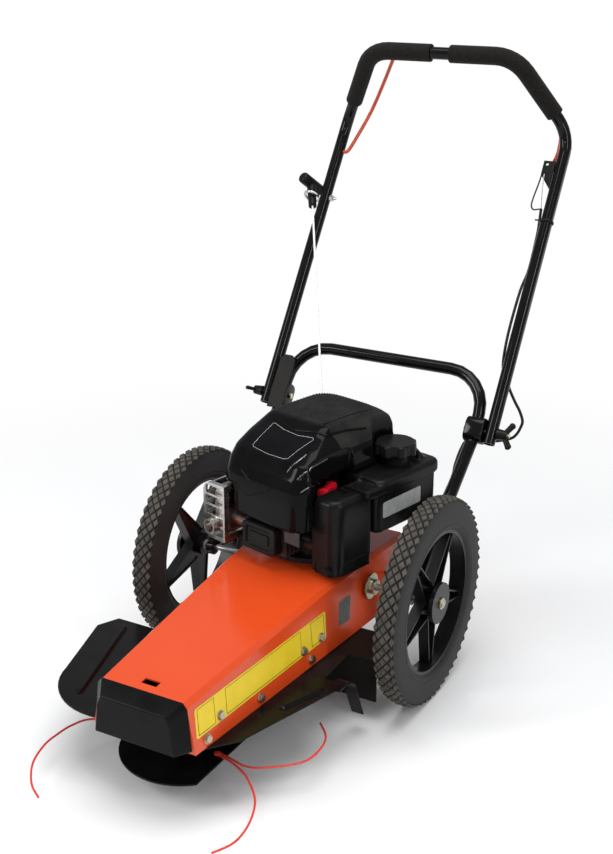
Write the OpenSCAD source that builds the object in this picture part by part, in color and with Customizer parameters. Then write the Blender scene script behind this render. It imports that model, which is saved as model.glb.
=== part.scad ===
// Wheeled string trimmer: two spoked wheels, a belt housing with an upright-shaft engine on it, a
// spinning line plate that rides the ground on a ball, and a loop handle that folds forward.
// Lengths are millimetres and angles are degrees. X points to the right wheel, Y to the rear, Z up.
// The ground is Z = 0. Pieces are laid out from the axle's middle and moved to the frame at the end.

/* [Wheels] */
// Diameter of a tyre over its tread
wheel_d = 406; // [380:1:440]
// Width of a tyre
tyre_w = 44; // [36:1:50]
// Diameter where the tyre sits on the rim
rim_d = 294; // [260:1:310]
// Distance of a tyre's middle outside the lower handle's side
wheel_step = 39; // [36:1:50]
// Diameter of the axle
axle_d = 12.7; // [10:0.1:16]
// Diameter of a wheel's outer hub disc
hub_d = 80; // [60:1:100]
// Number of spokes in a wheel
spoke_count = 5; // [3:1:8]
// Width of a spoke's channel at the hub
spoke_w = 38; // [28:1:44]
// Width of a spoke's channel at the rim
spoke_tip_w = 13; // [10:1:24]

/* [Belt housing] */
// Length of the housing ahead of the axle
housing_front = 556; // [530:1:600]
// Length of the housing behind the axle
housing_rear = 150; // [130:1:200]
// Width across the lower edges at the front
foot_front_w = 206; // [190:1:230]
// Width across the lower edges at the axle
foot_axle_w = 292; // [276:1:310]
// Height of the lower edges above the ground
skirt_z = 133; // [125:1:140]
// Height of the top's front edge
top_front_z = 225; // [215:1:235]
// Height of the level top that carries the engine
top_z = 254; // [248:1:262]
// Where the level top begins, ahead of the axle
slope_end = 110; // [80:1:140]
// Inward lean of the side walls
wall_lean = 10; // [6:0.5:12]
// Width of the strip bent along each top edge
strip_w = 12; // [8:0.5:16]
// Thickness of the housing's sheet
sheet_t = 3; // [2:0.1:4]

/* [Guard and nose] */
// Depth of the nose bumper ahead of the housing
nose_len = 28; // [20:1:40]
// Thickness of the guard plate
plate_t = 3; // [2:0.1:5]
// Reach of the left wing from the middle
wing_reach = 307; // [290:1:310]
// Reach of the right edge from the middle
right_reach = 214; // [200:1:225]
// Distance of the plate's rear edge ahead of the axle
plate_rear = 242; // [225:1:260]
// Height of the rear flap's lower edge above the ground
flap_z = 42; // [30:1:60]

/* [Cutter head] */
// Distance of the spindle ahead of the axle
head_y = 437; // [425:1:450]
// Diameter of the spindle
spindle_d = 20; // [17:0.5:24]
// Diameter of the line plate
line_plate_d = 236; // [220:1:250]
// Height of the line plate's lower face above the ground
line_plate_z = 48; // [44:1:56]
// Distance of the line plate's flat from the spindle
line_flat = 80; // [70:1:95]
// Diameter of the trimmer line
line_d = 4; // [3:0.1:5]
// Diameter of the ground ball
ball_d = 110; // [90:1:130]
// Diameter of the ball's worn rest face
ball_face_d = 40; // [30:1:50]

/* [Drive] */
// Distance of the crankshaft behind the axle
crank_y = 30; // [25:1:40]
// Diameter of the crankshaft
crank_d = 25.4; // [22:0.1:26]
// Diameter of the drive pulley
drive_pulley_d = 64; // [58:1:70]
// Diameter of the driven pulley
driven_pulley_d = 100; // [90:1:110]
// Width of the belt
belt_w = 10; // [8:0.5:12]
// Height of the belt's middle above the ground
belt_z = 178; // [174:1:182]
// Diameter of the idler pulley
idler_d = 44; // [36:1:48]
// Swing of the idler arm to the belt
idler_swing = 8; // [6:0.5:8.5]

/* [Engine] */
// Turn of the engine on the housing
engine_yaw = 14; // [8:1:18]
// Half width of the hood
hood_half_w = 107; // [103:1:110]
// Reach of the hood ahead of the crankshaft
hood_front = 158; // [150:1:165]
// Reach of the hood behind the crankshaft
hood_rear = 150; // [140:1:160]
// Height of the hood's lower edge above the housing
hood_low = 91; // [89:1:96]
// Height of the hood's top above the housing
hood_high = 264; // [262:1:274]
// Wall of the moulded covers
cover_t = 3; // [2:0.1:4]
// Diameter of the flywheel
flywheel_d = 168; // [150:1:172]
// Diameter of the rope drum
drum_d = 80; // [70:1:90]

/* [Fuel tank and air filter] */
// Reach of the tank's outer face from the crankshaft
tank_reach = 172; // [164:1:176]
// Length of the tank
tank_len = 186; // [172:1:190]
// Height of the tank's top above the housing
tank_high = 174; // [168:1:177]
// Diameter of the fuel cap
cap_d = 86; // [78:1:90]
// Height of the fuel cap
cap_h = 38; // [30:1:42]
// Length of the air filter cover
filter_len = 102; // [92:1:104]
// Height of the air filter cover
filter_h = 150; // [138:1:154]
// Reach of the filter cover's outer face from the crankshaft
filter_reach = 158; // [152:1:162]

/* [Muffler] */
// Length of the muffler guard
guard_len = 86; // [76:1:90]
// Width of the muffler guard
guard_w = 58; // [52:1:60]
// Height of the muffler guard
guard_h = 116; // [104:1:118]
// Diameter of the exhaust outlet
outlet_d = 33; // [26:1:36]

/* [Handle] */
// Diameter of the handle tubes
tube_d = 25.4; // [22:0.1:28]
// Wall of the handle tubes
tube_wall = 1.8; // [1.4:0.1:3]
// Distance of the fold bolts behind the axle
fold_y = 288; // [275:1:300]
// Height of the fold bolts above the ground
fold_z = 446; // [436:1:456]
// Slope of the handle arms above level
handle_angle = 56.4; // [52:0.1:60]
// Distance of an upper arm outside the lower handle's side
arm_step = 36; // [33:1:39]
// Length of an upper arm above its fold bolt
arm_len = 654; // [600:1:700]
// Distance between the corners of the top bar
bar_span = 326; // [300:1:350]
// Rise of the top bar above the ends of the arms
bar_rise = 160; // [140:1:180]
// Distance of the top bar ahead of the ends of the arms
bar_ahead = 85; // [70:1:100]
// Diameter of the foam grips
grip_d = 37; // [32:0.5:40]
// Distance between the middles of the lower handle's sides
lower_span = 448; // [440:1:452]
// Length of the lower handle above its fold bolt
lower_len = 118; // [110:1:130]
// Radius of the handle bends, to the middle of the tube
bend_r = 70; // [60:1:76]
// Radius of the lower handle's top corners, to the middle of the tube
corner_r = 84; // [76:1:88]

/* [Controls] */
// Diameter of the bail's rod
bail_d = 8; // [6:0.5:10]
// Distance of the bail's pivots below the ends of the arms, along the arms
bail_drop = 81; // [76:1:86]
// Rise of the bail's cross rod above its pivots
bail_high = 224; // [220:1:226]
// Reach of the bail's bowed legs behind its pivots
bail_back = 90; // [86:1:96]
// Inward run of a bail leg from its pivot to the cross rod
bail_inset = 127; // [122:1:132]
// Diameter of the fold bolts
bolt_d = 8; // [6:0.5:10]
// Reach of a knob's wings from its bolt
wing_len = 32; // [28:1:36]
// Diameter of the starter rope
rope_d = 4.5; // [4:0.1:6]
// Length of the starter grip's bar
grip_bar = 66; // [60:1:80]
// Diameter of the control cables
cable_d = 6; // [5:0.1:7]

/* [Fits] */
// Play of a shaft or pin in its hole, on the radius
shaft_play = 0.05; // [0.02:0.01:0.1]
// Gap between bodies that pass each other
body_gap = 0.3; // [0.2:0.05:0.5]

/* [Hidden] */
$fn = 64;
hull_fn = 32;
tube_sides = 24;
rod_sides = 12;
cord_sides = 8;
bend_steps = 6;
// How far a cut runs past the face that it opens
overrun = 2;
// Gap between fixed pieces that only touch
seat_gap = body_gap / 3;
// Thickness of the flat slices that a hull is drawn over
slice = 1;

// Colours
orange = "#e8501e";
gloss_black = "#141414";
satin_black = "#26231f";
rubber = "#3a3a38";
foam = "#221f1c";
zinc = "#b9b6aa";
cast_metal = "#8c8c88";
steel = "#c4c4c4";
line_red = "#d8402c";
knob_red = "#e02030";
rope_white = "#e6e6e2";

// Points and directions
function lerp(a, b, t) = a + (b - a) * t;
function unit(v) = v / norm(v);
function flip(p) = [-p.x, p.y, p.z];
function steep(d) = abs(unit(d).z) > 1 / 2;
function across(d) = steep(d) ? unit(cross([0, 1, 0], d)) : unit(cross([0, 0, 1], d));
function placing(x, y, z, at) = [
  [x.x, y.x, z.x, at.x],
  [x.y, y.y, z.y, at.y],
  [x.z, y.z, z.z, at.z],
  [0, 0, 0, 1]
];
function arc_points(centre, r, a0, a1, steps) = [
  for (i = [0 : steps]) centre + r * [cos(lerp(a0, a1, i / steps)), sin(lerp(a0, a1, i / steps))]
];

module along(at, d) {
  x = across(d);
  multmatrix(placing(x, cross(unit(d), x), unit(d), at)) children();
}

module rod(a, b, r) {
  along(a, b - a) cylinder(h = norm(b - a), r = r);
}

module x_rod(x0, x1, y, z, r) {
  translate([min(x0, x1), y, z]) rotate([0, 90, 0]) cylinder(h = abs(x1 - x0), r = r);
}

module on_side(side) {
  if (side < 0) mirror([1, 0, 0]) children();
  else children();
}

module both_sides() {
  for (side = [-1, 1]) on_side(side) children();
}

// A closed skin through rings of points, each ring turning right-handed about the way they run.
// A looped skin runs from its last ring back to its first and has no caps.
module skin(rings, looped = false) {
  n = len(rings[0]);
  count = len(rings);
  last = (count - 1) * n;
  walls = [
    for (i = [0 : count - (looped ? 1 : 2)], j = [0 : n - 1])
      let (here = i * n, next = (i + 1) % count * n, k = (j + 1) % n)
        each [[here + j, next + j, next + k], [here + j, next + k, here + k]]
  ];
  caps = looped ? [] : [[for (j = [0 : n - 1]) j], [for (j = [n - 1 : -1 : 0]) last + j]];
  polyhedron([for (ring = rings) each ring], concat(walls, caps), convexity = 6);
}

// Corner points turned into a route with round bends
function bend_points(a, b, c, bend) = let (
  d0 = unit(b - a),
  d1 = unit(c - b),
  turn = acos(d0 * d1),
  n = unit(d1 - d0 * (d0 * d1)),
  centre = b - d0 * (bend * tan(turn / 2)) + n * bend
) [
  for (k = [0 : bend_steps])
    centre + bend * (d0 * sin(turn * k / bend_steps) - n * cos(turn * k / bend_steps))
];
function bent_route(p, bend) = [
  p[0],
  for (i = [1 : len(p) - 2])
    each bend_points(p[i - 1], p[i], p[i + 1], is_list(bend) ? bend[i - 1] : bend),
  p[len(p) - 1]
];

// Chosen points turned into a smooth route through them
function route_point(p, i, t) = let (
  a = p[max(i - 1, 0)],
  b = p[i],
  c = p[i + 1],
  d = p[min(i + 2, len(p) - 1)]
) (2 * b + (c - a) * t + (2 * a - 5 * b + 4 * c - d) * t * t + (3 * b - a - 3 * c + d) * t * t * t) / 2;
function smooth_route(p, steps) = [
  for (i = [0 : len(p) - 2], k = [0 : steps - 1]) route_point(p, i, k / steps),
  p[len(p) - 1]
];

// A round bar or cord swept along a route as one skin
function way_at(p, i) = unit(p[min(i + 1, len(p) - 1)] - p[max(i - 1, 0)]);
function carried(x, d) = unit(x - d * (x * d));
function side_at(p, i) = i == 0 ? across(way_at(p, 0)) : carried(side_at(p, i - 1), way_at(p, i));

function round_rings(p, r, count) = [
  for (i = [0 : len(p) - 1])
    let (x = side_at(p, i), y = cross(way_at(p, i), x))
      [for (j = [0 : count - 1]) p[i] + r * (x * cos(360 * j / count) + y * sin(360 * j / count))]
];

module swept(p, r, count) {
  skin(round_rings(p, r, count));
}

// A tube with open ends swept along a route as one skin
module swept_tube(p, r, wall, count) {
  bore = round_rings(p, r - wall, count);
  skin(concat(round_rings(p, r, count), [for (i = [len(p) - 1 : -1 : 0]) bore[i]]), true);
}

// Round posts at the corners of a box in plan, which a hull is drawn over
module posts(x0, x1, y0, y1, r_front, r_rear, z, h) {
  for (x = [x0 + r_front, x1 - r_front])
    translate([x, y0 + r_front, z]) cylinder(h = h, r = r_front, $fn = hull_fn);
  for (x = [x0 + r_rear, x1 - r_rear])
    translate([x, y1 - r_rear, z]) cylinder(h = h, r = r_rear, $fn = hull_fn);
}

// Wheel places
wheel_r = wheel_d / 2;
rim_r = rim_d / 2;
axle_r = axle_d / 2;
axle_z = wheel_r;
wheel_x = lower_span / 2 + wheel_step;
tyre_in = wheel_x - tyre_w / 2;
tyre_out = wheel_x + tyre_w / 2;
crown = tyre_w / 8;
rim_wall = 6;
rim_bead = 7;
rim_half = tyre_w * 3 / 8;
spoke_t = 5;
spoke_rib_t = 3;
spoke_rib_h = 21;
hub_r = hub_d / 2;
hub_core_r = 22;
hub_disc_t = 8;
hub_stand = 2;
hub_in = tyre_in + body_gap;
hub_out = tyre_out + hub_stand;
bush_r = 10;
retainer_t = 3;
retainer_r = 11;
axle_end = hub_out + 2 * retainer_t + body_gap;

// Housing walls: a level rear, a sloped front, leaning sides and a strip bent along each top edge
strip_leg = strip_w / sqrt(2);
function foot_half(y) = lerp(foot_front_w, foot_axle_w, (y + housing_front) / housing_front) / 2;
function wall_x(y, z) = foot_half(y) - (z - skirt_z) * tan(wall_lean);
function top_at(y) =
  y < -slope_end ? lerp(top_front_z, top_z, (y + housing_front) / (housing_front - slope_end)) : top_z;
function housing_ring(y, inset, foot) = let (
  top = top_at(y),
  shoulder = top - strip_leg,
  xt = wall_x(y, shoulder) - strip_leg - inset / 2,
  xs = wall_x(y, shoulder) - inset,
  xf = wall_x(y, foot) - inset
) [
  [-xt, y, top - inset], [xt, y, top - inset], [xs, y, shoulder - inset / 2],
  [xf, y, foot], [-xf, y, foot], [-xs, y, shoulder - inset / 2]
];

// Bolts along each wall, as shares of the length ahead of the axle and of the wall's height
bolt_length_shares = [0.94, 0.865, 0.67, 0.42, 0.385, 0.315];
bolt_height_shares = [0.16, 0.4, 0.14, 0.36, 0.12, 0.36];
wall_bolt_r = 4;
wall_head_r = 7.5;
wall_flange_r = 9;
wall_flange_t = 2;
wall_head_t = 4;
wall_nut_t = 5;
wall_way = unit([1, -(foot_axle_w - foot_front_w) / 2 / housing_front, tan(wall_lean)]);
function bolt_place(i) = let (
  y = -housing_front * bolt_length_shares[i],
  z = lerp(skirt_z, top_at(y) - strip_leg, bolt_height_shares[i])
) [wall_x(y, z), y, z];

module at_wall_bolts() {
  for (side = [-1, 1], i = [0 : len(bolt_length_shares) - 1])
    on_side(side) along(bolt_place(i), wall_way) children();
}

slot_w = 31;
slot_len = 15;
slot_y = -housing_front + slot_len + sheet_t;
crank_hole_r = 30;
cable_r = cable_d / 2;
cable_hole_back = 35;
cable_hole_y = crank_y + cable_hole_back;

module belt_housing() {
  top_cut = sheet_t + 2 * overrun;
  color(orange) difference() {
    skin([for (y = [-housing_front, -slope_end, housing_rear]) housing_ring(y, 0, skirt_z)]);
    skin([
      for (y = [-housing_front + sheet_t, -slope_end, housing_rear - sheet_t])
        housing_ring(y, sheet_t, skirt_z - overrun)
    ]);
    translate([0, crank_y, top_z - sheet_t - overrun]) cylinder(h = top_cut, r = crank_hole_r);
    x_rod(-foot_axle_w, foot_axle_w, 0, axle_z, axle_r + shaft_play);
    x_rod(0, foot_axle_w, cable_hole_y, axle_z, cable_r + body_gap);
    translate([-slot_w / 2, slot_y, top_front_z - sheet_t - overrun])
      cube([slot_w, slot_len, 2 * top_cut]);
    at_wall_bolts() translate([0, 0, -2 * sheet_t]) cylinder(h = 3 * sheet_t, r = wall_bolt_r + shaft_play);
    idler_place() translate([0, 0, top_z - sheet_t - overrun])
      cylinder(h = top_cut, r = idler_pin_r + shaft_play);
    engine_frame() at_engine_bolts() translate([0, 0, -sheet_t - overrun])
      cylinder(h = top_cut, r = engine_bolt_r + shaft_play);
  }
}

module housing_bolts() {
  nut_low = sheet_t + seat_gap + wall_nut_t;
  color(zinc) at_wall_bolts() {
    translate([0, 0, seat_gap]) cylinder(h = wall_flange_t, r = wall_flange_r);
    translate([0, 0, seat_gap + wall_flange_t]) cylinder(h = wall_head_t, r = wall_head_r, $fn = 6);
    translate([0, 0, -nut_low - wall_bolt_r]) cylinder(h = nut_low + wall_bolt_r + wall_flange_t, r = wall_bolt_r);
    translate([0, 0, -nut_low]) cylinder(h = wall_nut_t, r = wall_head_r, $fn = 6);
  }
}

// Nose bumper, a bevelled block over the housing's front
nose_lip = 2;
nose_low = 138;
nose_face_high = 208;
nose_face_half = 74;
nose_foot_half = 80;
nose_back_half = 97;
nose_shoulder = 18;
nose_back = -housing_front - seat_gap;

module nose_bumper() {
  front = nose_back - nose_len;
  top = top_front_z + nose_lip;
  top_half = wall_x(-housing_front, top_front_z - strip_leg) - strip_leg + nose_lip;
  face = [
    [nose_face_half - strip_leg, nose_face_high], [nose_face_half, nose_face_high - nose_shoulder],
    [nose_foot_half, nose_low]
  ];
  back = [
    [top_half, top], [top_half + strip_leg, top_front_z - strip_leg], [nose_back_half, nose_low]
  ];
  ring = function (half, y) [
    [-half[0].x, y, half[0].y], [half[0].x, y, half[0].y], [half[1].x, y, half[1].y],
    [half[2].x, y, half[2].y], [-half[2].x, y, half[2].y], [-half[1].x, y, half[1].y]
  ];
  color(satin_black) skin([ring(face, front), ring(back, nose_back)]);
}

// Guard plate: a wing on the left, lips inside the walls, ridges and a curled foot at the right rear
wing_round = 132;
wing_corner = [-130, -412];
wing_turns = [191, 280];
wing_steps = 12;
wing_back_in = 20;
wing_back_len = 42;
right_front = [142, -483];
front_half = 84;
lip_h = 26;
ridge_half = 9;
ridge_h = 6;
left_ridge = [[-184, -499], [-258, -262]];
right_ridge = [[150, -368], [184, -274]];
foot_w = 24;
foot_drop = 100;
foot_run = 72;
foot_round = 46;
foot_steps = 6;
spindle_hole_r = 42;
plate_low = skirt_z - plate_t;

function plate_outline() = concat(
  [
    [front_half, -housing_front], right_front, [right_reach, -plate_rear],
    [-wing_reach + wing_back_in, -plate_rear], [-wing_reach, -plate_rear - wing_back_len]
  ],
  arc_points(wing_corner, wing_round, wing_turns[0], wing_turns[1], wing_steps),
  [[-front_half, -housing_front]]
);

module lip() {
  ring = function (y) [
    for (corner = [[plate_t, lip_h], [0, lip_h], [0, 0], [plate_t, 0]])
      let (z = skirt_z - plate_t / 2 + corner.y)
        [wall_x(y, z) - sheet_t - body_gap - corner.x, y, z]
  ];
  skin([ring(-housing_front + 3 * sheet_t), ring(-plate_rear - sheet_t)]);
}

module ridge(ends) {
  d = unit(ends[1] - ends[0]);
  n = [-d.y, d.x];
  ring = function (p, half, h) [
    for (k = [[-half, -plate_t / 2], [half, -plate_t / 2], [half / 2, h], [-half / 2, h]])
      [p.x + n.x * k.x, p.y + n.y * k.x, skirt_z + k.y]
  ];
  tip = ridge_half / 4;
  skin([
    ring(ends[0], tip, ridge_h / 4), ring(ends[0] + d * ridge_half, ridge_half, ridge_h),
    ring(ends[1] - d * ridge_half, ridge_half, ridge_h), ring(ends[1], tip, ridge_h / 4)
  ]);
}

module curled_foot() {
  hook = function (r, a0, a1) [
    for (p = arc_points([0, 0], r, a0, a1, foot_steps)) p - [foot_round, foot_round]
  ];
  outline = concat(
    [[-foot_run, 0]], hook(foot_round, 90, 0), [[foot_run / 3, -foot_drop], [foot_run / 3 - plate_t, -foot_drop]],
    hook(foot_round - plate_t, 0, 90), [[-foot_run, -plate_t]]
  );
  translate([right_reach - foot_w, -plate_rear + foot_run * 2 / 3, skirt_z])
    rotate([90, 0, 90]) linear_extrude(foot_w) polygon(outline);
}

module guard_plate() {
  color(satin_black) difference() {
    union() {
      translate([0, 0, plate_low]) linear_extrude(plate_t - seat_gap) polygon(plate_outline());
      ridge(left_ridge);
      ridge(right_ridge);
      both_sides() lip();
      curled_foot();
    }
    translate([0, -head_y, plate_low - overrun]) cylinder(h = plate_t + 2 * overrun, r = spindle_hole_r);
    at_wall_bolts() translate([0, 0, -6 * sheet_t])
      cylinder(h = 6 * sheet_t - body_gap, r = wall_head_r + body_gap);
  }
}

// Rear flap: a hanging panel with a bent top under the plate's rear edge and a shield behind it
flap_half = 222;
flap_y = -138;
flap_t = 4;
shield_run = 100;

module rear_flap() {
  top = plate_low - seat_gap;
  shelf_half = right_reach - 2 * foot_w;
  color(satin_black) {
    translate([-flap_half, flap_y, flap_z]) cube([2 * flap_half, flap_t, top - flap_z]);
    translate([-flap_half, flap_y, top - flap_t]) cube([2 * flap_half, shield_run, flap_t]);
    translate([-shelf_half, -plate_rear - flap_t, top - flap_t])
      cube([2 * shelf_half, flap_y + plate_rear + 2 * flap_t, flap_t]);
  }
}

// Axle and what holds it
collar_r = 15;
collar_t = 10;
collar_flange_r = 26;
collar_flange_t = 4;

module axle() {
  color(steel) x_rod(-axle_end, axle_end, 0, axle_z, axle_r);
}

module axle_collars() {
  x0 = wall_x(0, axle_z - collar_flange_r) + seat_gap;
  x1 = x0 + collar_flange_t;
  color(zinc) both_sides() difference() {
    union() {
      x_rod(x0, x1, 0, axle_z, collar_flange_r);
      x_rod(x1 - overrun, x1 + collar_t, 0, axle_z, collar_r);
    }
    x_rod(x0 - overrun, x1 + collar_t + overrun, 0, axle_z, axle_r + shaft_play);
  }
}

module wheel_bushes() {
  color(rope_white) both_sides() difference() {
    x_rod(hub_in, hub_out, 0, axle_z, bush_r);
    x_rod(hub_in - overrun, hub_out + overrun, 0, axle_z, axle_r + shaft_play);
  }
}

module wheel_retainers() {
  x0 = hub_out + body_gap;
  color(zinc) both_sides() difference() {
    union() {
      x_rod(x0, x0 + retainer_t, 0, axle_z, retainer_r);
      x_rod(x0, axle_end, 0, axle_z, retainer_r * 4 / 5, $fn = 6);
    }
    x_rod(x0 - overrun, axle_end + overrun, 0, axle_z, axle_r + shaft_play);
  }
}

// Wheels
module tyre() {
  half = tyre_w / 2;
  profile = concat(
    [[rim_r - rim_bead, -rim_half], [rim_r, -half], [wheel_r - 2 * crown, -half]],
    [for (a = [-60 : 20 : 60]) [wheel_r - crown + crown * cos(a), (half - crown / 2) * sin(a) / sin(60)]],
    [[wheel_r - 2 * crown, half], [rim_r, half], [rim_r - rim_bead, rim_half]]
  );
  color(rubber) translate([wheel_x, 0, axle_z]) rotate([0, 90, 0]) rotate_extrude() polygon(profile);
}

module at_spokes() {
  for (i = [0 : spoke_count - 1]) rotate(360 * i / spoke_count) children();
}

module spoke_plan(half_in, half_out, r_in, r_out) {
  polygon([[r_in, -half_in], [r_out, -half_out], [r_out, half_out], [r_in, half_in]]);
}

module rim() {
  outer = rim_r - rim_bead - seat_gap;
  inner = outer - rim_wall;
  spoke_len = inner + rim_wall / 2;
  rib_low = spoke_rib_t - rim_half;
  rib_half = function (r) lerp(spoke_w, spoke_tip_w, (r - hub_r) / (inner - hub_r)) / 2;
  color(satin_black) translate([wheel_x, 0, axle_z]) rotate([0, 90, 0]) difference() {
    union() {
      rotate_extrude() translate([inner, -rim_half]) square([rim_wall, 2 * rim_half]);
      translate([0, 0, hub_in - wheel_x]) cylinder(h = hub_out - hub_in, r = hub_core_r);
      translate([0, 0, hub_out - hub_disc_t - wheel_x]) cylinder(h = hub_disc_t, r = hub_r);
      translate([0, 0, rib_low + spoke_t / 2]) linear_extrude(spoke_t) at_spokes()
        spoke_plan(rib_half(0) - spoke_rib_t / 2, rib_half(spoke_len) - spoke_rib_t / 2, 0, spoke_len);
      translate([0, 0, rib_low]) linear_extrude(spoke_rib_h) at_spokes() difference() {
        spoke_plan(rib_half(hub_core_r), rib_half(spoke_len), hub_core_r, spoke_len);
        spoke_plan(rib_half(0) - spoke_rib_t, rib_half(2 * spoke_len) - spoke_rib_t, 0, 2 * spoke_len);
      }
    }
    translate([0, 0, -tyre_w]) cylinder(h = 2 * tyre_w, r = bush_r + shaft_play);
  }
}

module right_tyre() {
  tyre();
}

module right_rim() {
  rim();
}

module left_tyre() {
  mirror([1, 0, 0]) tyre();
}

module left_rim() {
  mirror([1, 0, 0]) rim();
}

// Handle lines: the fold bolt and the slope of the arms above it
tube_r = tube_d / 2;
arm_x = lower_span / 2 + arm_step;
lower_x = lower_span / 2;
arm_way = [0, cos(handle_angle), sin(handle_angle)];
arm_face = [0, -sin(handle_angle), cos(handle_angle)];
function arm_point(x, s) = [x, fold_y, fold_z] + arm_way * s;
fold_tail = 24;
lower_tail = 22;
lug_r = 17;
lug_w = 12;
bolt_r = bolt_d / 2;

// A frame on a handle arm: X across, Y out of its front face, Z down the arm
module on_arm(x, s) {
  multmatrix(placing([1, 0, 0], arm_face, -arm_way, arm_point(x, s))) children();
}

lower_low = [lower_x, 0, axle_z];
lower_knee = arm_point(lower_x, -lower_tail);
lower_top = arm_point(lower_x, lower_len);

function lower_route() = bent_route([
  lower_low, lower_knee, lower_top, flip(lower_top), flip(lower_knee), flip(lower_low)
], [bend_r, corner_r, corner_r, bend_r]);

module lower_handle() {
  color(gloss_black) difference() {
    union() {
      swept_tube(lower_route(), tube_r, tube_wall, tube_sides);
      both_sides() x_rod(lower_x - lug_w / 2, lower_x + lug_w / 2, 0, axle_z, lug_r);
    }
    x_rod(-lower_span, lower_span, 0, axle_z, axle_r + shaft_play);
    x_rod(-lower_span, lower_span, fold_y, fold_z, bolt_r + shaft_play);
  }
}

// Clamp blocks on the lower tubes beside the arms, and the flat stay in front of the left one
block_h = 52;
block_face = 20;
block_in = 17;
stay_w = 36;
stay_t = 4;
stay_len = 120;
stay_top = 84;
stay_clip = 9;

module clamp_blocks() {
  x0 = lower_x - block_in;
  x1 = arm_x - tube_r - body_gap;
  color(satin_black) both_sides() difference() {
    on_arm(0, block_h / 2) translate([x0, -block_face, 0]) cube([x1 - x0, 2 * block_face, block_h]);
    swept(bent_route([lower_low, lower_knee, lower_top], bend_r), tube_r + seat_gap, tube_sides);
    x_rod(0, arm_x, fold_y, fold_z, bolt_r + shaft_play);
  }
}

module left_stay() {
  color(satin_black) on_arm(-lower_x, stay_top)
    translate([0, block_face + seat_gap + stay_t, 0]) rotate([90, 0, 0]) linear_extrude(stay_t) polygon([
      [-stay_w / 2, stay_clip], [stay_clip - stay_w / 2, 0], [stay_w / 2 - stay_clip, 0], [stay_w / 2, stay_clip],
      [stay_w / 2, stay_len], [-stay_w / 2, stay_len]
    ]);
}

knob_in = arm_x + tube_r + body_gap;
knob_core_r = 12;
knob_core_w = 22;
knob_wing_t = 9;
knob_lean = 26;
left_wing_turn = 65;
right_wing_turn = -30;
knob_out = knob_in + knob_core_w;

module clamp_bolts() {
  x0 = lower_x - block_in - seat_gap;
  head_t = bolt_d * 2 / 3;
  color(zinc) both_sides() {
    x_rod(x0 - head_t, knob_out + bolt_r, fold_y, fold_z, bolt_r);
    x_rod(x0 - head_t, x0, fold_y, fold_z, bolt_d * 4 / 5, $fn = 6);
  }
}

// Wing knobs, with two wings that lean outwards
module knob(wing_turn) {
  wing_r = knob_wing_t / 2;
  tip_x = knob_out - wing_r;
  color(gloss_black) difference() {
    union() {
      x_rod(knob_in, knob_out, fold_y, fold_z, knob_core_r);
      for (turn = [0, 180]) translate([0, fold_y, fold_z]) rotate([turn + wing_turn, 0, 0]) hull() {
        x_rod(knob_in + wing_r, knob_out - wing_r, 0, 0, wing_r, $fn = hull_fn);
        x_rod(tip_x, tip_x + knob_lean, 0, wing_len - wing_r, wing_r, $fn = hull_fn);
      }
    }
    x_rod(knob_in - overrun, knob_out + knob_lean, fold_y, fold_z, bolt_r + shaft_play);
  }
}

module left_knob() {
  mirror([1, 0, 0]) knob(left_wing_turn);
}

module right_knob() {
  knob(right_wing_turn);
}

// Upper handle and its grips
arm_top = arm_point(arm_x, arm_len);
bar_corner = [bar_span / 2, arm_top.y - bar_ahead, arm_top.z + bar_rise];
grip_r = grip_d / 2;
grip_start_share = 0.27;
bar_gap = 44;

function upper_route() = bent_route([
  arm_point(arm_x, -fold_tail), arm_top, bar_corner,
  flip(bar_corner), flip(arm_top), arm_point(-arm_x, -fold_tail)
], bend_r);

module upper_handle() {
  color(gloss_black) difference() {
    swept_tube(upper_route(), tube_r, tube_wall, tube_sides);
    x_rod(-2 * arm_x, 2 * arm_x, fold_y, fold_z, bolt_r + shaft_play);
    x_rod(-arm_x - tube_d, -arm_x + tube_d, guide_at.y, guide_at.z, guide_r + shaft_play);
    both_sides() x_rod(0, arm_x, bail_pivot.y, bail_pivot.z, bail_r + shaft_play);
  }
}

module handle_grips() {
  start = lerp(arm_top, bar_corner, grip_start_share);
  gap_end = [bar_gap / 2, bar_corner.y, bar_corner.z];
  color(foam) both_sides() difference() {
    swept(bent_route([start, bar_corner, gap_end], bend_r), grip_r, tube_sides);
    swept(bent_route([arm_top, bar_corner, flip(gap_end)], bend_r), tube_r + seat_gap, tube_sides);
  }
}

// Bail: a sprung rod with bowed legs that the operator squeezes to the top bar.
// Each row gives shares of the inward run, the bow behind the pivots and the rise.
bail_r = bail_d / 2;
bail_pivot = arm_point(arm_x - tube_r, arm_len - bail_drop);
bail_pin = tube_r / 2;
bail_steps = 3;
bail_shares = [
  [0.04, 0, 0], [0.075, 0.1, 0.026], [0.08, 0.55, 0.143], [0.19, 1, 0.377],
  [0.492, 0.833, 0.688], [0.717, 0.556, 0.875], [0.82, 0.478, 0.973], [1, 0.444, 1]
];

function bail_route() = let (
  leg = [
    for (k = bail_shares) bail_pivot + [-k[0] * bail_inset, k[1] * bail_back, k[2] * bail_high]
  ],
  end = bail_pivot + [bail_pin, 0, 0],
  last = len(leg) - 1,
  middle = [0, leg[last].y, leg[last].z]
) concat(
  [end], smooth_route(leg, bail_steps), [middle],
  [for (i = [len(smooth_route(leg, bail_steps)) - 1 : -1 : 0]) flip(smooth_route(leg, bail_steps)[i])],
  [flip(end)]
);

module bail() {
  color(orange) swept(bail_route(), bail_r, rod_sides);
}

// Bracket plate on the right arm that holds the drive cable's end
bracket_t = 3;
bracket_reach = 25;
bracket_h = 62;
bracket_face = 7;
bracket_hole_r = 3;

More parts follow.
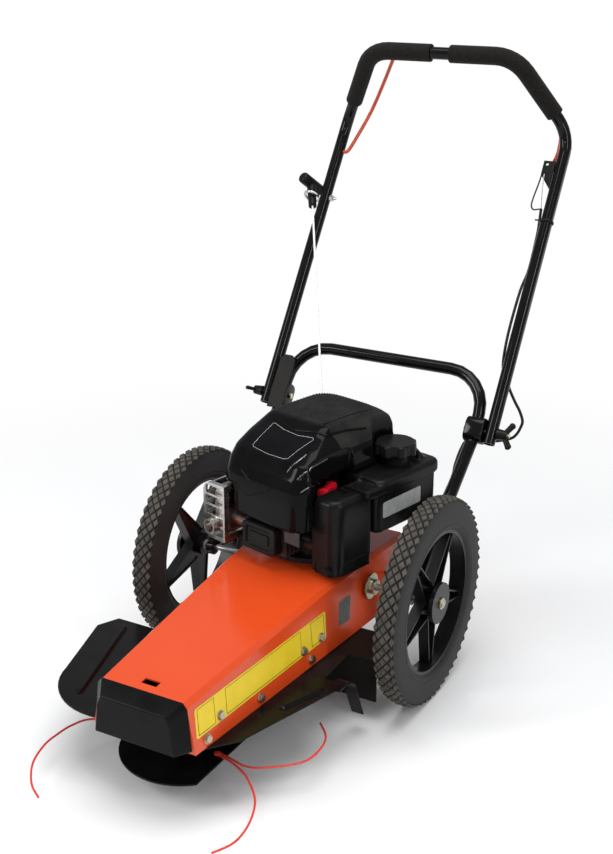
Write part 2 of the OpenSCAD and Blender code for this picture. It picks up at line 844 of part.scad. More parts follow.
module cable_bracket() {
  outer = -sqrt(tube_r * tube_r - bracket_face * bracket_face) - seat_gap;
  color(gloss_black) on_arm(arm_x, arm_len - bail_drop + bracket_h / 4) translate([0, bracket_face, 0])
    rotate([-90, 0, 0]) difference() {
      linear_extrude(bracket_t) polygon([
        [outer, 0], [outer, -bracket_h], [outer - bracket_reach, -bracket_h / 2], [outer - bracket_reach, 0]
      ]);
      translate([outer - bracket_reach * 2 / 3, -bracket_h / 8, -overrun])
        cylinder(h = bracket_t + 2 * overrun, r = bracket_hole_r);
    }
}

// Rope guide: an eye bolt through the left arm
guide_r = 3;
guide_below = 113;
guide_s = arm_len - bail_drop - guide_below;
guide_stand = 34;
guide_ring_r = 17;
guide_nut_r = 7;
guide_at = arm_point(-arm_x, guide_s);
guide_eye = guide_at - [guide_stand, 0, 0];

module rope_guide() {
  nut_x = -arm_x + tube_r + seat_gap;
  color(zinc) {
    x_rod(guide_eye.x + guide_ring_r, nut_x + 2 * guide_nut_r, guide_at.y, guide_at.z, guide_r);
    x_rod(nut_x, nut_x + guide_nut_r, guide_at.y, guide_at.z, guide_nut_r, $fn = 6);
    along(guide_eye, unit([0, rope_way.y, rope_way.z])) rotate_extrude() translate([guide_ring_r, 0])
      circle(guide_r);
  }
}

// Starter rope and its grip, on one line from the hood to the guide
rope_exit = [-52.5, 151, 499];
rope_way = unit(guide_eye - rope_exit);
rope_r = rope_d / 2;
rope_steps = 24;
stem_r = 11;
stem_tip_r = 9;
stem_len = 68;
stem_low = 30;
bar_r = 13;
bar_lean = 48;

module starter_rope() {
  start = rope_exit - rope_way * 2 * cover_t;
  end = guide_eye - rope_way * (stem_low + seat_gap);
  color(rope_white) swept([for (i = [0 : rope_steps]) lerp(start, end, i / rope_steps)], rope_r, cord_sides);
}

module starter_grip() {
  low = guide_eye - rope_way * stem_low;
  high = low + rope_way * stem_len;
  side = unit(cross(rope_way, [0, 0, 1]));
  way = side * cos(bar_lean) + cross(rope_way, side) * sin(bar_lean);
  half = grip_bar / 2;
  round_r = bar_r / 2;
  color(gloss_black) {
    along(low, rope_way) cylinder(h = stem_len, r1 = stem_tip_r, r2 = stem_r);
    along(high, way) rotate_extrude() polygon(concat(
      [[0, half]], arc_points([bar_r - round_r, half - round_r], round_r, 90, 0, 4),
      arc_points([bar_r - round_r, round_r - half], round_r, 0, -90, 4), [[0, -half]]
    ));
  }
}

// Control cable: hand-chosen routes, the upper from its bracket to the loop beside the right knob,
// the lower from there along the lower tube into the housing; the wire loop hangs off the bracket.
// X counts from the right arm, and at the lower cable's end from the lower tube in shares of the way in.
function by_arm(route) = [for (p = route) [arm_x + p.x, p.y, p.z]];
function by_tube(route) = let (wall = wall_x(cable_hole_y, axle_z)) [
  for (p = route) [lerp(wall, lower_x, p.x), p.y, p.z]
];
upper_cable_route = by_arm([
  [-26, 576, 846], [-23, 561, 820], [-19, 541, 797], [-18, 500, 733], [-18, 456, 698], [-18, 402, 624],
  [-17, 378, 568], [-10, 370, 545], [0, 366, 531], [8, 358, 518], [23, 354, 494], [34, 352, 478], [41, 352, 458]
]);
lower_cable_route = concat(
  by_arm([[41, 352, 458], [37, 352, 442], [30, 352, 428], [19, 352, 417], [-5, 346, 409], [-28, 326, 410]]),
  by_tube([
    [0.789, 300, 417], [0.742, 274, 406], [0.754, 244, 382], [0.794, 222, 362], [0.75, 160, 312],
    [0.696, 110, 262], [0.522, 76, 220], [0.304, 66, 204], [0.152, 65, 203], [-0.043, 65, 203]
  ])
);
loop_route = by_arm([
  [-26, 570, 922], [-28, 556, 900], [-30, 536, 876], [-29, 524, 862], [-28, 534, 852], [-27, 560, 848], [-26, 576, 846]
]);
wire_route = by_arm([[-26, 583, 918], [-27, 579, 890], [-26, 576, 846]]);
cable_steps = 2;
cable_trim_share = 0.6;
loop_r = 2;
fitting_r = 5;
fitting_len = 28;

module upper_cables() {
  start = upper_cable_route[0];
  way = unit(upper_cable_route[1] - start);
  color(rubber) {
    swept(smooth_route(upper_cable_route, cable_steps), cable_r, cord_sides);
    rod(start + way * cable_d, start + way * (cable_d + fitting_len), fitting_r);
    swept(smooth_route(loop_route, cable_steps), loop_r, cord_sides);
    swept(smooth_route(wire_route, cable_steps), loop_r / 2, cord_sides);
  }
}

module lower_cables() {
  route = smooth_route(lower_cable_route, cable_steps);
  start = route[0] + unit(route[1] - route[0]) * cable_r * cable_trim_share;
  color(rubber) swept([start, for (i = [1 : len(route) - 1]) route[i]], cable_r, cord_sides);
}

// Engine, in its own frame: the crankshaft is the origin and the housing's top is level zero
module engine_frame() {
  translate([0, crank_y, top_z]) rotate(-engine_yaw) children();
}

crank_r = crank_d / 2;
flange_r = 104;
flange_t = 10;
case_half = 60;
case_front = 75;
case_rear = 80;
case_round = 20;
case_high = hood_low - seat_gap;
tower_r = 50;
tower_high = 180;
barrel_half = 40;
barrel_low = 28;
head_front = 138;
fin_count = 6;
fin_t = 3;
fin_half = barrel_half + 12;
engine_bolt_r = 4.5;
engine_head_r = 7;
engine_head_t = 6;
engine_bolt_ring = 86;
engine_bolt_turns = [35, 145, 270];

module at_engine_bolts() {
  for (turn = engine_bolt_turns) rotate(turn) translate([engine_bolt_ring, 0, 0]) children();
}

module engine_block() {
  fin_h = case_high - barrel_low;
  color(cast_metal) engine_frame() difference() {
    union() {
      translate([0, 0, seat_gap]) cylinder(h = flange_t - seat_gap, r = flange_r);
      hull() posts(-case_half, case_half, -case_front, case_rear, case_round, case_round, seat_gap,
        case_high - seat_gap);
      translate([0, 0, seat_gap]) cylinder(h = tower_high - seat_gap, r = tower_r);
      translate([-barrel_half, -head_front, barrel_low])
        cube([2 * barrel_half, head_front - case_front + case_round, fin_h]);
      for (i = [0 : fin_count - 1])
        translate([-fin_half, -lerp(head_front, case_front, i / fin_count), barrel_low])
          cube([2 * fin_half, fin_t, fin_h]);
    }
    translate([0, 0, -overrun]) cylinder(h = tower_high + 2 * overrun, r = crank_r + shaft_play);
    at_engine_bolts() {
      translate([0, 0, -overrun]) cylinder(h = flange_t + 2 * overrun, r = engine_bolt_r + shaft_play);
      translate([0, 0, flange_t]) cylinder(h = hood_low, r = engine_head_r + body_gap);
    }
  }
}

module engine_bolts() {
  nut_low = sheet_t + seat_gap + engine_head_t;
  color(zinc) engine_frame() at_engine_bolts() {
    translate([0, 0, -nut_low - engine_bolt_r])
      cylinder(h = nut_low + engine_bolt_r + flange_t + engine_head_t, r = engine_bolt_r);
    translate([0, 0, flange_t + seat_gap]) cylinder(h = engine_head_t, r = engine_head_r, $fn = 6);
    translate([0, 0, -nut_low]) cylinder(h = engine_head_t, r = engine_head_r, $fn = 6);
  }
}

rocker_t = 22;
rocker_round = 8;

module rocker_cover() {
  half = barrel_half + fin_t;
  front = -head_front - rocker_t;
  color(gloss_black) engine_frame() hull() posts(-half, half, front, -head_front - seat_gap, rocker_round, fin_t,
    barrel_low + fin_t, case_high - barrel_low - 2 * fin_t);
}

plug_v = -128;
plug_high = 64;
plug_r = 9;
plug_len = 30;
carburettor_v = -98;
carburettor_high = 58;
carburettor_r = 15;

module spark_plug() {
  color(rubber) engine_frame() translate([fin_half + seat_gap, plug_v, plug_high]) rotate([0, 90, 0])
    cylinder(h = plug_len, r = plug_r);
}

module carburettor() {
  color(cast_metal) engine_frame() translate([fin_half + seat_gap, carburettor_v, carburettor_high])
    rotate([0, 90, 0]) cylinder(h = filter_in - fin_half - 2 * seat_gap, r = carburettor_r);
}

// Hood: a drawn-in dome over the flywheel, with pockets for the filter, tank, cap and muffler
hood_reach = 2 * hood_front;
hood_corner = 26;
hood_tail = 70;
hood_wall_h = 76;
hood_shoulder = 46;
hood_brow = 14;
brow_front = 60;
crest_front = 30;
pocket_u = 63;
pocket_step = 164;
pocket_brow = 184;
pocket_wall = 92;
pocket_back = -6;
pocket_len = 88;
pocket_room = 4;
muffler_wall = 66;
muffler_back = 82;

module hood_form(inset) {
  half = hood_half_w - inset;
  front = hood_front - inset;
  rear = hood_rear - inset;
  drop = inset > 0 ? overrun : 0;
  hull() {
    posts(-half, half, -front, rear, hood_corner, hood_tail, hood_low - drop, hood_wall_h);
    posts(-half + hood_corner / 4, half - hood_corner / 4, -front + hood_corner, rear - hood_corner / 2,
      hood_corner, hood_tail, hood_high - hood_shoulder - inset, slice);
    posts(-half + hood_corner / 3, half - hood_corner * 7 / 4, inset - brow_front, rear - hood_corner / 2,
      hood_corner * 7 / 4, hood_tail * 6 / 7, hood_high - hood_brow - inset - slice, slice);
    translate([half - hood_corner * 4 / 3, rear - hood_corner, hood_high - hood_brow * 4 / 3 - inset - slice])
      cylinder(h = slice, r = hood_corner * 3 / 4, $fn = hull_fn);
    posts(-half * 7 / 8, half * 3 / 5, inset - crest_front, rear * 4 / 5, hood_corner * 3 / 2,
      hood_corner * 3 / 2, hood_high - inset - slice, slice);
  }
}

module hood_pockets(wall) {
  side_pocket = function (u) [
    [u - wall, 0], [u - wall, pocket_step + wall], [pocket_wall - wall, pocket_brow + wall],
    [pocket_wall - wall, hood_high], [hood_reach, hood_high], [hood_reach, 0]
  ];
  translate([0, pocket_back + wall, 0]) rotate([90, 0, 0]) {
    linear_extrude(pocket_len + 2 * wall) polygon(side_pocket(pocket_u));
    linear_extrude(pocket_back - filter_front + pocket_room + 2 * wall)
      polygon(side_pocket(filter_in - 2 * pocket_room));
  }
  translate([tank_in - pocket_room - wall, pocket_back - pocket_room - wall, 0])
    cube([hood_reach, hood_reach, tank_high + pocket_room + wall]);
  translate([cap_u, cap_v, tank_high]) cylinder(h = hood_high, r = cap_d / 2 + pocket_room + wall);
  translate([-hood_reach - muffler_wall + wall, -hood_reach - muffler_back + wall, 0])
    cube([hood_reach, hood_reach, muffler_low + guard_h + pocket_room + wall]);
}

module hood_shell() {
  difference() {
    hood_form(0);
    hood_pockets(0);
    difference() {
      hood_form(cover_t);
      hood_pockets(cover_t);
    }
  }
}

// The grille is the rear of the hood's top, a separate moulding that carries the rope drum's post
grille_front = 28;
grille_low = 226;
drum_post_r = 7;

module grille_space(grow) {
  translate([-hood_reach, -grille_front - grow, grille_low - grow]) cube(2 * hood_reach);
}

module hood() {
  color(gloss_black) engine_frame() difference() {
    hood_shell();
    grille_space(seat_gap);
  }
}

module hood_grille() {
  post_low = drum_low - body_gap;
  color(rubber) difference() {
    engine_frame() union() {
      intersection() {
        hood_shell();
        grille_space(0);
      }
      translate([0, 0, post_low]) cylinder(h = hood_high - cover_t / 2 - post_low, r = drum_post_r);
    }
    rod(rope_exit - rope_way * hood_wall_h, rope_exit + rope_way * hood_wall_h, rope_r + seat_gap);
  }
}

// Crankshaft, flywheel and rope drum
flywheel_low = 186;
flywheel_t = 26;
drum_low = flywheel_low + flywheel_t + 3;
drum_t = 20;
drum_lip = 3;

module crankshaft() {
  low = belt_z - belt_w - top_z;
  color(steel) engine_frame() translate([0, 0, low]) cylinder(h = flywheel_low + flywheel_t - low, r = crank_r);
}

module flywheel() {
  color(cast_metal) engine_frame() translate([0, 0, flywheel_low]) difference() {
    cylinder(h = flywheel_t, r = flywheel_d / 2);
    translate([0, 0, -overrun]) cylinder(h = flywheel_t + 2 * overrun, r = crank_r + shaft_play);
  }
}

module rope_drum() {
  r = drum_d / 2;
  color(rubber) engine_frame() translate([0, 0, drum_low]) rotate_extrude() polygon([
    [drum_post_r + shaft_play, 0], [r, 0], [r, drum_lip], [r / 2, drum_lip], [r / 2, drum_t - drum_lip],
    [r, drum_t - drum_lip], [r, drum_t], [drum_post_r + shaft_play, drum_t]
  ]);
}

// Pulleys and belt
belt_t = 6;
pulley_rim = 4;
pulley_side = 4;
pulley_edge = 1.5;
belt_steps = 24;

module pulley(r, bore) {
  w = belt_w + 2 * pulley_side;
  floor_r = r - belt_t / 2 - body_gap;
  low = pulley_side - body_gap;
  translate([0, 0, belt_z - w / 2]) rotate_extrude() polygon([
    [bore + shaft_play, 0], [r + pulley_rim, 0], [r + pulley_rim, pulley_edge], [floor_r, low],
    [floor_r, w - low], [r + pulley_rim, w - pulley_edge], [r + pulley_rim, w], [bore + shaft_play, w]
  ]);
}

module drive_pulley() {
  color(steel) translate([0, crank_y, 0]) pulley(drive_pulley_d / 2, crank_r);
}

module driven_pulley() {
  color(steel) translate([0, -head_y, 0]) pulley(driven_pulley_d / 2, spindle_r);
}

module drive_belt() {
  lean = asin((driven_pulley_d - drive_pulley_d) / 2 / (head_y + crank_y));
  loop = function (grow) concat(
    arc_points([0, crank_y], drive_pulley_d / 2 + grow, lean, 180 - lean, belt_steps),
    arc_points([0, -head_y], driven_pulley_d / 2 + grow, 180 - lean, 360 + lean, belt_steps)
  );
  color(rubber) translate([0, 0, belt_z - belt_w / 2]) linear_extrude(belt_w) difference() {
    polygon(loop(belt_t / 2));
    polygon(loop(-belt_t / 2));
  }
}

// Idler: an arm under the housing's top that the bail swings to the belt
idler_pin_r = 5;
idler_pin = [88, -60];
idler_len = 100;
idler_lean = 12;
idler_arm_half = 9;
idler_arm_t = 4;
idler_low = belt_z + belt_w / 2 + pulley_side + body_gap;
idler_hub_r = 12;

module idler_place() {
  translate([idler_pin.x, idler_pin.y, 0]) children();
}

module idler_turned() {
  idler_place() rotate(idler_swing - idler_lean) children();
}

module idler_pivot() {
  head_t = idler_arm_t;
  color(zinc) idler_place() {
    translate([0, 0, idler_low]) cylinder(h = top_z + head_t - idler_low, r = idler_pin_r);
    translate([0, 0, top_z + seat_gap]) cylinder(h = head_t, r = idler_arm_half, $fn = 6);
  }
}

module idler_arm() {
  pin_h = idler_low + idler_arm_t - belt_z + belt_w / 2;
  color(steel) idler_turned() difference() {
    union() {
      translate([0, 0, idler_low]) cylinder(h = idler_arm_t, r = idler_hub_r);
      translate([-idler_arm_half, -idler_len - idler_arm_half, idler_low])
        cube([2 * idler_arm_half, idler_len + idler_arm_half, idler_arm_t]);
      translate([0, -idler_len, belt_z - belt_w / 2]) cylinder(h = pin_h, r = idler_pin_r);
    }
    translate([0, 0, idler_low - overrun]) cylinder(h = top_z, r = idler_pin_r + shaft_play);
  }
}

module idler_pulley() {
  color(rubber) idler_turned() translate([0, -idler_len, belt_z - belt_w / 2]) difference() {
    cylinder(h = belt_w, r = idler_d / 2);
    translate([0, 0, -overrun]) cylinder(h = belt_w + 2 * overrun, r = idler_pin_r + shaft_play);
  }
}

// Fuel tank and cap
tank_in = 68;
tank_front = -6;
tank_low = 66;
tank_round = 16;
tank_tail = 30;
tank_shoulder = 40;
tank_taper = 12;
tank_foot = 20;
cap_u = 120;
cap_v = 97;
neck_r = 28;
neck_h = 16;
cap_seat = 6;
hill_in = 112;
hill_w = 18;
hill_h = 22;
cap_grips = 10;
cap_grip_r = 8;

module fuel_tank() {
  rear = tank_front + tank_len;
  color(gloss_black) engine_frame() {
    hull() {
      posts(tank_in, tank_reach - tank_taper / 2, tank_front, rear - tank_taper, tank_round, tank_tail, tank_low,
        slice);
      posts(tank_in, tank_reach, tank_front, rear, tank_round, tank_tail, tank_high - tank_shoulder, slice);
      posts(tank_in, tank_reach - tank_taper, tank_front + tank_taper / 2, rear - tank_taper, tank_round,
        tank_tail, tank_high - slice, slice);
    }
    difference() {
      hull() {
        posts(hill_in, tank_reach - tank_taper, cap_v - tank_tail, rear - tank_taper, tank_round / 2, tank_tail / 2,
          tank_high - tank_shoulder, slice);
        posts(hill_in, hill_in + hill_w, cap_v, rear - tank_taper, tank_round / 2, tank_round / 2,
          tank_high + hill_h - slice, slice);
      }
      translate([cap_u, cap_v, tank_high - slice]) cylinder(h = 2 * hill_h, r = cap_d / 2 + pocket_room);
    }
    translate([cap_u, cap_v, tank_high - 2 * slice]) cylinder(h = neck_h + slice, r = neck_r);
    translate([case_half + seat_gap, tank_foot, tank_low])
      cube([tank_in - case_half + tank_round, 2 * tank_foot, tank_foot]);
  }
}

module fuel_cap() {
  color(gloss_black) engine_frame() translate([cap_u, cap_v, tank_high + cap_seat]) difference() {
    cylinder(h = cap_h, r = cap_d / 2);
    translate([0, 0, -overrun]) cylinder(h = neck_h + overrun, r = neck_r + body_gap);
    for (i = [0 : cap_grips - 1]) rotate(360 * i / cap_grips)
      translate([cap_d / 2 + cap_grip_r / 2, 0, -overrun]) cylinder(h = cap_h - overrun, r = cap_grip_r);
  }
}

// Air filter: a base on the carburettor, an element and a cover that pulls off
filter_in = 96;
filter_base_t = 9;
filter_low = 10;
filter_front = -115;
filter_edge = 4;
filter_bevel = 12;
element_t = 26;
boss_r = 8;
boss_t = 10;

module filter_base() {
  edge = cover_t / 2;
  color(satin_black) engine_frame() translate([filter_in, filter_front + edge, filter_low + edge])
    cube([filter_base_t, filter_len - 2 * edge, filter_h - 6 * filter_edge]);
}

module filter_element() {
  edge = 3 * filter_edge;
  color(rope_white) engine_frame()
    translate([filter_in + filter_base_t + seat_gap, filter_front + edge, filter_low + edge])
      cube([element_t, filter_len - 2 * edge, filter_h - 2 * edge]);
}

module filter_form(inset) {
  u0 = filter_in + filter_base_t + body_gap - (inset > 0 ? overrun : 0);
  long = filter_len - 2 * inset;
  high = filter_h - 2 * inset;
  translate([0, filter_front + inset, filter_low + inset]) hull() {
    translate([u0, 0, 0]) cube([slice, long, high]);
    translate([filter_reach - filter_bevel - inset, 0, 0]) cube([slice, long, high]);
    translate([filter_reach - slice - inset, filter_bevel, filter_bevel])
      cube([slice, long - 3 / 2 * filter_bevel, high - 2 * filter_bevel]);
  }
}

module filter_cover() {
  color(satin_black) engine_frame() {
    difference() {
      filter_form(0);
      filter_form(cover_t);
    }
    translate([filter_reach - filter_bevel - boss_r, filter_front + cover_t / 2, filter_low + 2 * boss_r])
      rotate([90, 0, 0]) cylinder(h = boss_t, r = boss_r);
  }
}

// Dipstick in its tube, with a handle that turns to lock
tube_u = 84;
tube_v = -58;
dip_tube_r = 8;
dip_bore_r = 5.5;
dip_r = 4;
dip_top = 136;
dip_neck = 10;
dip_handle_r = 9;
dip_handle_len = 46;
dip_turn = 20;

module dipstick_tube() {
  color(gloss_black) engine_frame() translate([tube_u, tube_v, flange_t + seat_gap]) difference() {
    cylinder(h = dip_top - flange_t, r = dip_tube_r);
    translate([0, 0, -overrun]) cylinder(h = dip_top, r = dip_bore_r);
  }
}

module dipstick() {
  low = flange_t + dip_neck;
  top = dip_top + seat_gap + body_gap;
  color(knob_red) engine_frame() translate([tube_u, tube_v, 0]) {
    translate([0, 0, low]) cylinder(h = top + dip_neck - low, r = dip_r);
    translate([0, 0, top]) cylinder(h = dip_neck, r = dip_tube_r);
    translate([0, 0, top + dip_neck + dip_handle_r / 2]) rotate([90, 0, dip_turn])
      translate([0, 0, -dip_handle_len / 2]) cylinder(h = dip_handle_len, r = dip_handle_r);
  }
}

// Muffler and its slotted guard
muffler_low = 31;
muffler_left = -132;
muffler_front = -176;
muffler_inset = 6;
guard_t = 2;
guard_round = 12;
guard_slots = 5;
slot_share = 0.5;
outlet_share = 0.45;
outlet_high = 30;
outlet_pipe_r = outlet_d / 2 - guard_t;
exhaust_v = -118;
exhaust_high = 60;
exhaust_r = 14;

module at_outlet() {
  translate([muffler_left + guard_w * outlet_share, muffler_front, muffler_low + outlet_high])
    rotate([90, 0, 0]) children();
}

module exhaust_stub(grow) {
  end = muffler_left + guard_w - 2 * muffler_inset;
  x_rod(end, -fin_half - seat_gap, exhaust_v, exhaust_high, exhaust_r + grow);
}

module muffler() {
  t = muffler_inset;
  r = guard_round - guard_t;
  color(cast_metal) engine_frame() difference() {
    union() {
      hull() posts(muffler_left + t, muffler_left + guard_w - t, muffler_front + t, muffler_front + guard_len - t,
        r, r, muffler_low + t, guard_h - 2 * t);
      at_outlet() translate([0, 0, -2 * t]) cylinder(h = 3 * t, r = outlet_pipe_r);
      exhaust_stub(0);
    }
    at_outlet() translate([0, 0, -t]) cylinder(h = 3 * t, r = outlet_pipe_r - guard_t);
  }
}

module muffler_guard() {
  t = guard_t;
  pitch = (guard_h - 2 * guard_round) / guard_slots;
  right = muffler_left + guard_w;
  back = muffler_front + guard_len;
  color(steel) engine_frame() difference() {
    hull() posts(muffler_left, right, muffler_front, back, guard_round, t, muffler_low, guard_h);
    hull() posts(muffler_left + t, right - t, muffler_front + t, back + overrun, guard_round - t, t,
      muffler_low + t, guard_h - 2 * t);
    at_outlet() translate([0, 0, -guard_round]) cylinder(h = 2 * guard_round, r = outlet_pipe_r + seat_gap);
    exhaust_stub(seat_gap);
    for (i = [0 : guard_slots - 1])
      translate([muffler_left - overrun, muffler_front - overrun, muffler_low + guard_round + i * pitch]) {
        translate([0, 2 * guard_round, 0]) cube([2 * t + overrun, guard_len - 3 * guard_round, pitch * slot_share]);
        if (i > 1) translate([guard_round, 0, 0])
          cube([guard_w - 2 * guard_round, 2 * t + overrun, pitch * slot_share]);
      }
  }
}

// Cutter head
spindle_r = spindle_d / 2;
bearing_r = 26;
bearing_t = 14;
house_r = 32;
house_low = 84;
house_high = 158;
house_flange_r = 62;
house_flange_t = 8;
line_plate_t = 4;
line_hub_r = 20;
spindle_tail = 14;
knot_r = 7;
knot_h = 5;

module at_head() {
  translate([0, -head_y, 0]) children();
}

module spindle_housing() {
  h = house_high - house_low;
  color(cast_metal) at_head() difference() {
    union() {
      translate([0, 0, house_low]) cylinder(h = h, r = house_r);
      translate([0, 0, skirt_z]) cylinder(h = house_flange_t, r = house_flange_r);
    }
    translate([0, 0, house_low - overrun]) cylinder(h = h + 2 * overrun, r = bearing_r + shaft_play);
  }
}

module spindle_bearings() {
  color(steel) at_head() for (z = [house_low, house_high - bearing_t]) translate([0, 0, z]) difference() {
    cylinder(h = bearing_t, r = bearing_r);
    translate([0, 0, -overrun]) cylinder(h = bearing_t + 2 * overrun, r = spindle_r + shaft_play);
  }
}

module spindle() {
  low = line_plate_z - spindle_tail;
  color(steel) at_head() translate([0, 0, low]) cylinder(h = belt_z + belt_w - low, r = spindle_r);
}

module line_plate() {
  hub_h = house_low - line_plate_z - body_gap;
  color(gloss_black) at_head() difference() {
    translate([0, 0, line_plate_z]) union() {
      cylinder(h = line_plate_t, r = line_plate_d / 2);
      cylinder(h = hub_h, r = line_hub_r);
    }
    translate([0, 0, line_plate_z - overrun]) {
      cylinder(h = hub_h + 2 * overrun, r = spindle_r + shaft_play);
      translate([line_flat, -line_plate_d, 0]) cube([line_plate_d, 2 * line_plate_d, line_plate_t + 2 * overrun]);
    }
  }
}

module ground_ball() {
  r = ball_d / 2;
  middle = sqrt(r * r - ball_face_d * ball_face_d / 4);
  bore_low = line_plate_z - spindle_tail - body_gap;
  color(satin_black) at_head() difference() {
    intersection() {
      translate([0, 0, middle]) sphere(r);
      cylinder(h = line_plate_z - body_gap, r = ball_d);
    }
    translate([0, 0, bore_low]) cylinder(h = line_plate_z, r = spindle_r + shaft_play);
  }
}

// Trimmer lines, hand-chosen routes that droop from the plate
right_front_route = [
  [70, -440, 55], [97, -446, 55], [124, -457, 54], [149, -472, 52], [186, -510, 48], [206, -560, 43],
  [209, -610, 40], [192, -650, 40]
];
right_rear_route = [
  [70, -434, 55], [100, -440, 55], [124, -444, 54], [151, -436, 54], [203, -390, 54], [214, -346, 54],
  [204, -299, 54], [174, -265, 54]
];
left_route = [
  [-70, -437, 54], [-130, -437, 54], [-192, -456, 54], [-214, -485, 51], [-222, -520, 48], [-222, -555, 46],
  [-206, -604, 44], [-172, -648, 42], [-136, -673, 42]
];
line_steps = 2;

module right_line() {
  color(line_red) {
    swept(smooth_route(right_front_route, line_steps), line_d / 2, cord_sides);
    swept(smooth_route(right_rear_route, line_steps), line_d / 2, cord_sides);
    at_head() translate([line_flat - 2 * knot_r, 0, line_plate_z + line_plate_t + seat_gap])
      cylinder(h = knot_h, r = knot_r);
  }
}

module left_line() {
  color(line_red) swept(smooth_route(left_route, line_steps), line_d / 2, cord_sides);
}

// The frame: the middle of the machine's length, without its lines, lies at Y = 0
origin_y = (bail_pivot.y + bail_back + bail_r - housing_front - nose_len) / 2;

module in_frame() {
  translate([0, -origin_y, 0]) children();
}

in_frame() belt_housing();
in_frame() nose_bumper();
in_frame() guard_plate();
in_frame() rear_flap();
in_frame() housing_bolts();
in_frame() axle();
in_frame() axle_collars();
in_frame() wheel_bushes();
in_frame() wheel_retainers();
in_frame() lower_handle();
in_frame() left_stay();
in_frame() clamp_blocks();
in_frame() clamp_bolts();
in_frame() engine_block();
in_frame() engine_bolts();
in_frame() hood();
in_frame() hood_grille();
in_frame() fuel_tank();
in_frame() filter_base();
in_frame() filter_element();
in_frame() carburettor();
in_frame() muffler();
in_frame() muffler_guard();
in_frame() spark_plug();
in_frame() rocker_cover();
in_frame() dipstick_tube();
in_frame() spindle_housing();
in_frame() spindle_bearings();
in_frame() drive_belt();
in_frame() idler_pivot();
in_frame() lower_cables();
in_frame() starter_rope();
in_frame() crankshaft();
in_frame() flywheel();
in_frame() drive_pulley();
in_frame() rope_drum();
in_frame() spindle();
in_frame() driven_pulley();
in_frame() line_plate();
in_frame() right_line();
in_frame() left_line();
in_frame() ground_ball();
in_frame() idler_arm();
in_frame() idler_pulley();
in_frame() left_tyre();
in_frame() left_rim();
in_frame() right_tyre();
in_frame() right_rim();
in_frame() upper_handle();
in_frame() handle_grips();
in_frame() rope_guide();
in_frame() cable_bracket();
in_frame() upper_cables();
in_frame() bail();
in_frame() left_knob();
in_frame() right_knob();
in_frame() starter_grip();
in_frame() fuel_cap();
in_frame() dipstick();
in_frame() filter_cover();
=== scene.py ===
# %% [markdown]
# # A wheeled string trimmer, dressed for its photograph
# The machine stands on two spoked wheels and on a ball under its spinning line plate. The CAD frame
# brings every solid piece in its place, and this lesson gives each of them a finish, and makes new
# pieces where moulded, woven or wound forms need more than a solid. Load the frame first, because
# everything after it is placed by it.

# %% Load the frame
import math

import bmesh
import bpy
from mathutils import Matrix, Vector
from mathutils.bvhtree import BVHTree


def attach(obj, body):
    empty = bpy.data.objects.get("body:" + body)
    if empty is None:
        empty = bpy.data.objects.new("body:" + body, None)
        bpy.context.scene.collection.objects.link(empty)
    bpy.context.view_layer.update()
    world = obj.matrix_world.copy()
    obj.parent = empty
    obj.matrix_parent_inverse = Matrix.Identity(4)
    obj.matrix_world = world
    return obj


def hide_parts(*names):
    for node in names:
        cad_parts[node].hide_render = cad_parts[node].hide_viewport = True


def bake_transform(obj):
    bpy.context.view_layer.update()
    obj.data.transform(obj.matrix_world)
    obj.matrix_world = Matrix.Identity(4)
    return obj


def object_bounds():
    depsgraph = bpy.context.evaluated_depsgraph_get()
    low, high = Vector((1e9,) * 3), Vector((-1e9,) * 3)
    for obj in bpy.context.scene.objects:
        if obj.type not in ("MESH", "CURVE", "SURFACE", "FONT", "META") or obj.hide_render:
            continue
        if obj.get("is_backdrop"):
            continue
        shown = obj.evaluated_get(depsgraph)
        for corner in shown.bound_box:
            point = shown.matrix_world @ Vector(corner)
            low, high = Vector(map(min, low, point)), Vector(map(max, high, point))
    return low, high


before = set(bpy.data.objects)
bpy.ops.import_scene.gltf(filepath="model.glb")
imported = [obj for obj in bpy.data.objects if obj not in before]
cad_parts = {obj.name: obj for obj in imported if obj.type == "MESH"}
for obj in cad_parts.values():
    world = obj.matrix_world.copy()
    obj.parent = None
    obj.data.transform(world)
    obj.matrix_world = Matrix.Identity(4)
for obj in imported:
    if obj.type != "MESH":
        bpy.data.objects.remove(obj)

for spare in ("Cube", "Light", "Camera"):
    if spare in bpy.data.objects:
        bpy.data.objects.remove(bpy.data.objects[spare])
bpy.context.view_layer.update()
scene = bpy.context.scene

# %% [markdown]
# Two work frames save sums later. Lengths are written in millimetres from the middle of the axle, as a
# maker would measure them, and a matrix carries them to metres in the shared frame. The engine stands
# turned on the housing, so it has a matrix of its own: u to its right, v to its rear and w up.

# %% Work frames
MM = 0.001
AXLE = Matrix.Translation((0, -57.547 * MM, 0))
ENGINE_YAW = math.radians(-14)
ENGINE = AXLE @ Matrix.Translation((0, 30 * MM, 254 * MM)) @ Matrix.Rotation(ENGINE_YAW, 4, "Z")


def spot(point, base=AXLE):
    """A point in millimetres of a work frame, in metres of the shared frame."""
    return base @ (Vector(point) * MM)


print("axle middle", spot((0, 0, 203)))

# %% [markdown]
# The camera stands where the photograph was taken from: ahead of the machine, to its right and above it.
# The picture is taller than it is wide, so the sensor's width counts along the height.

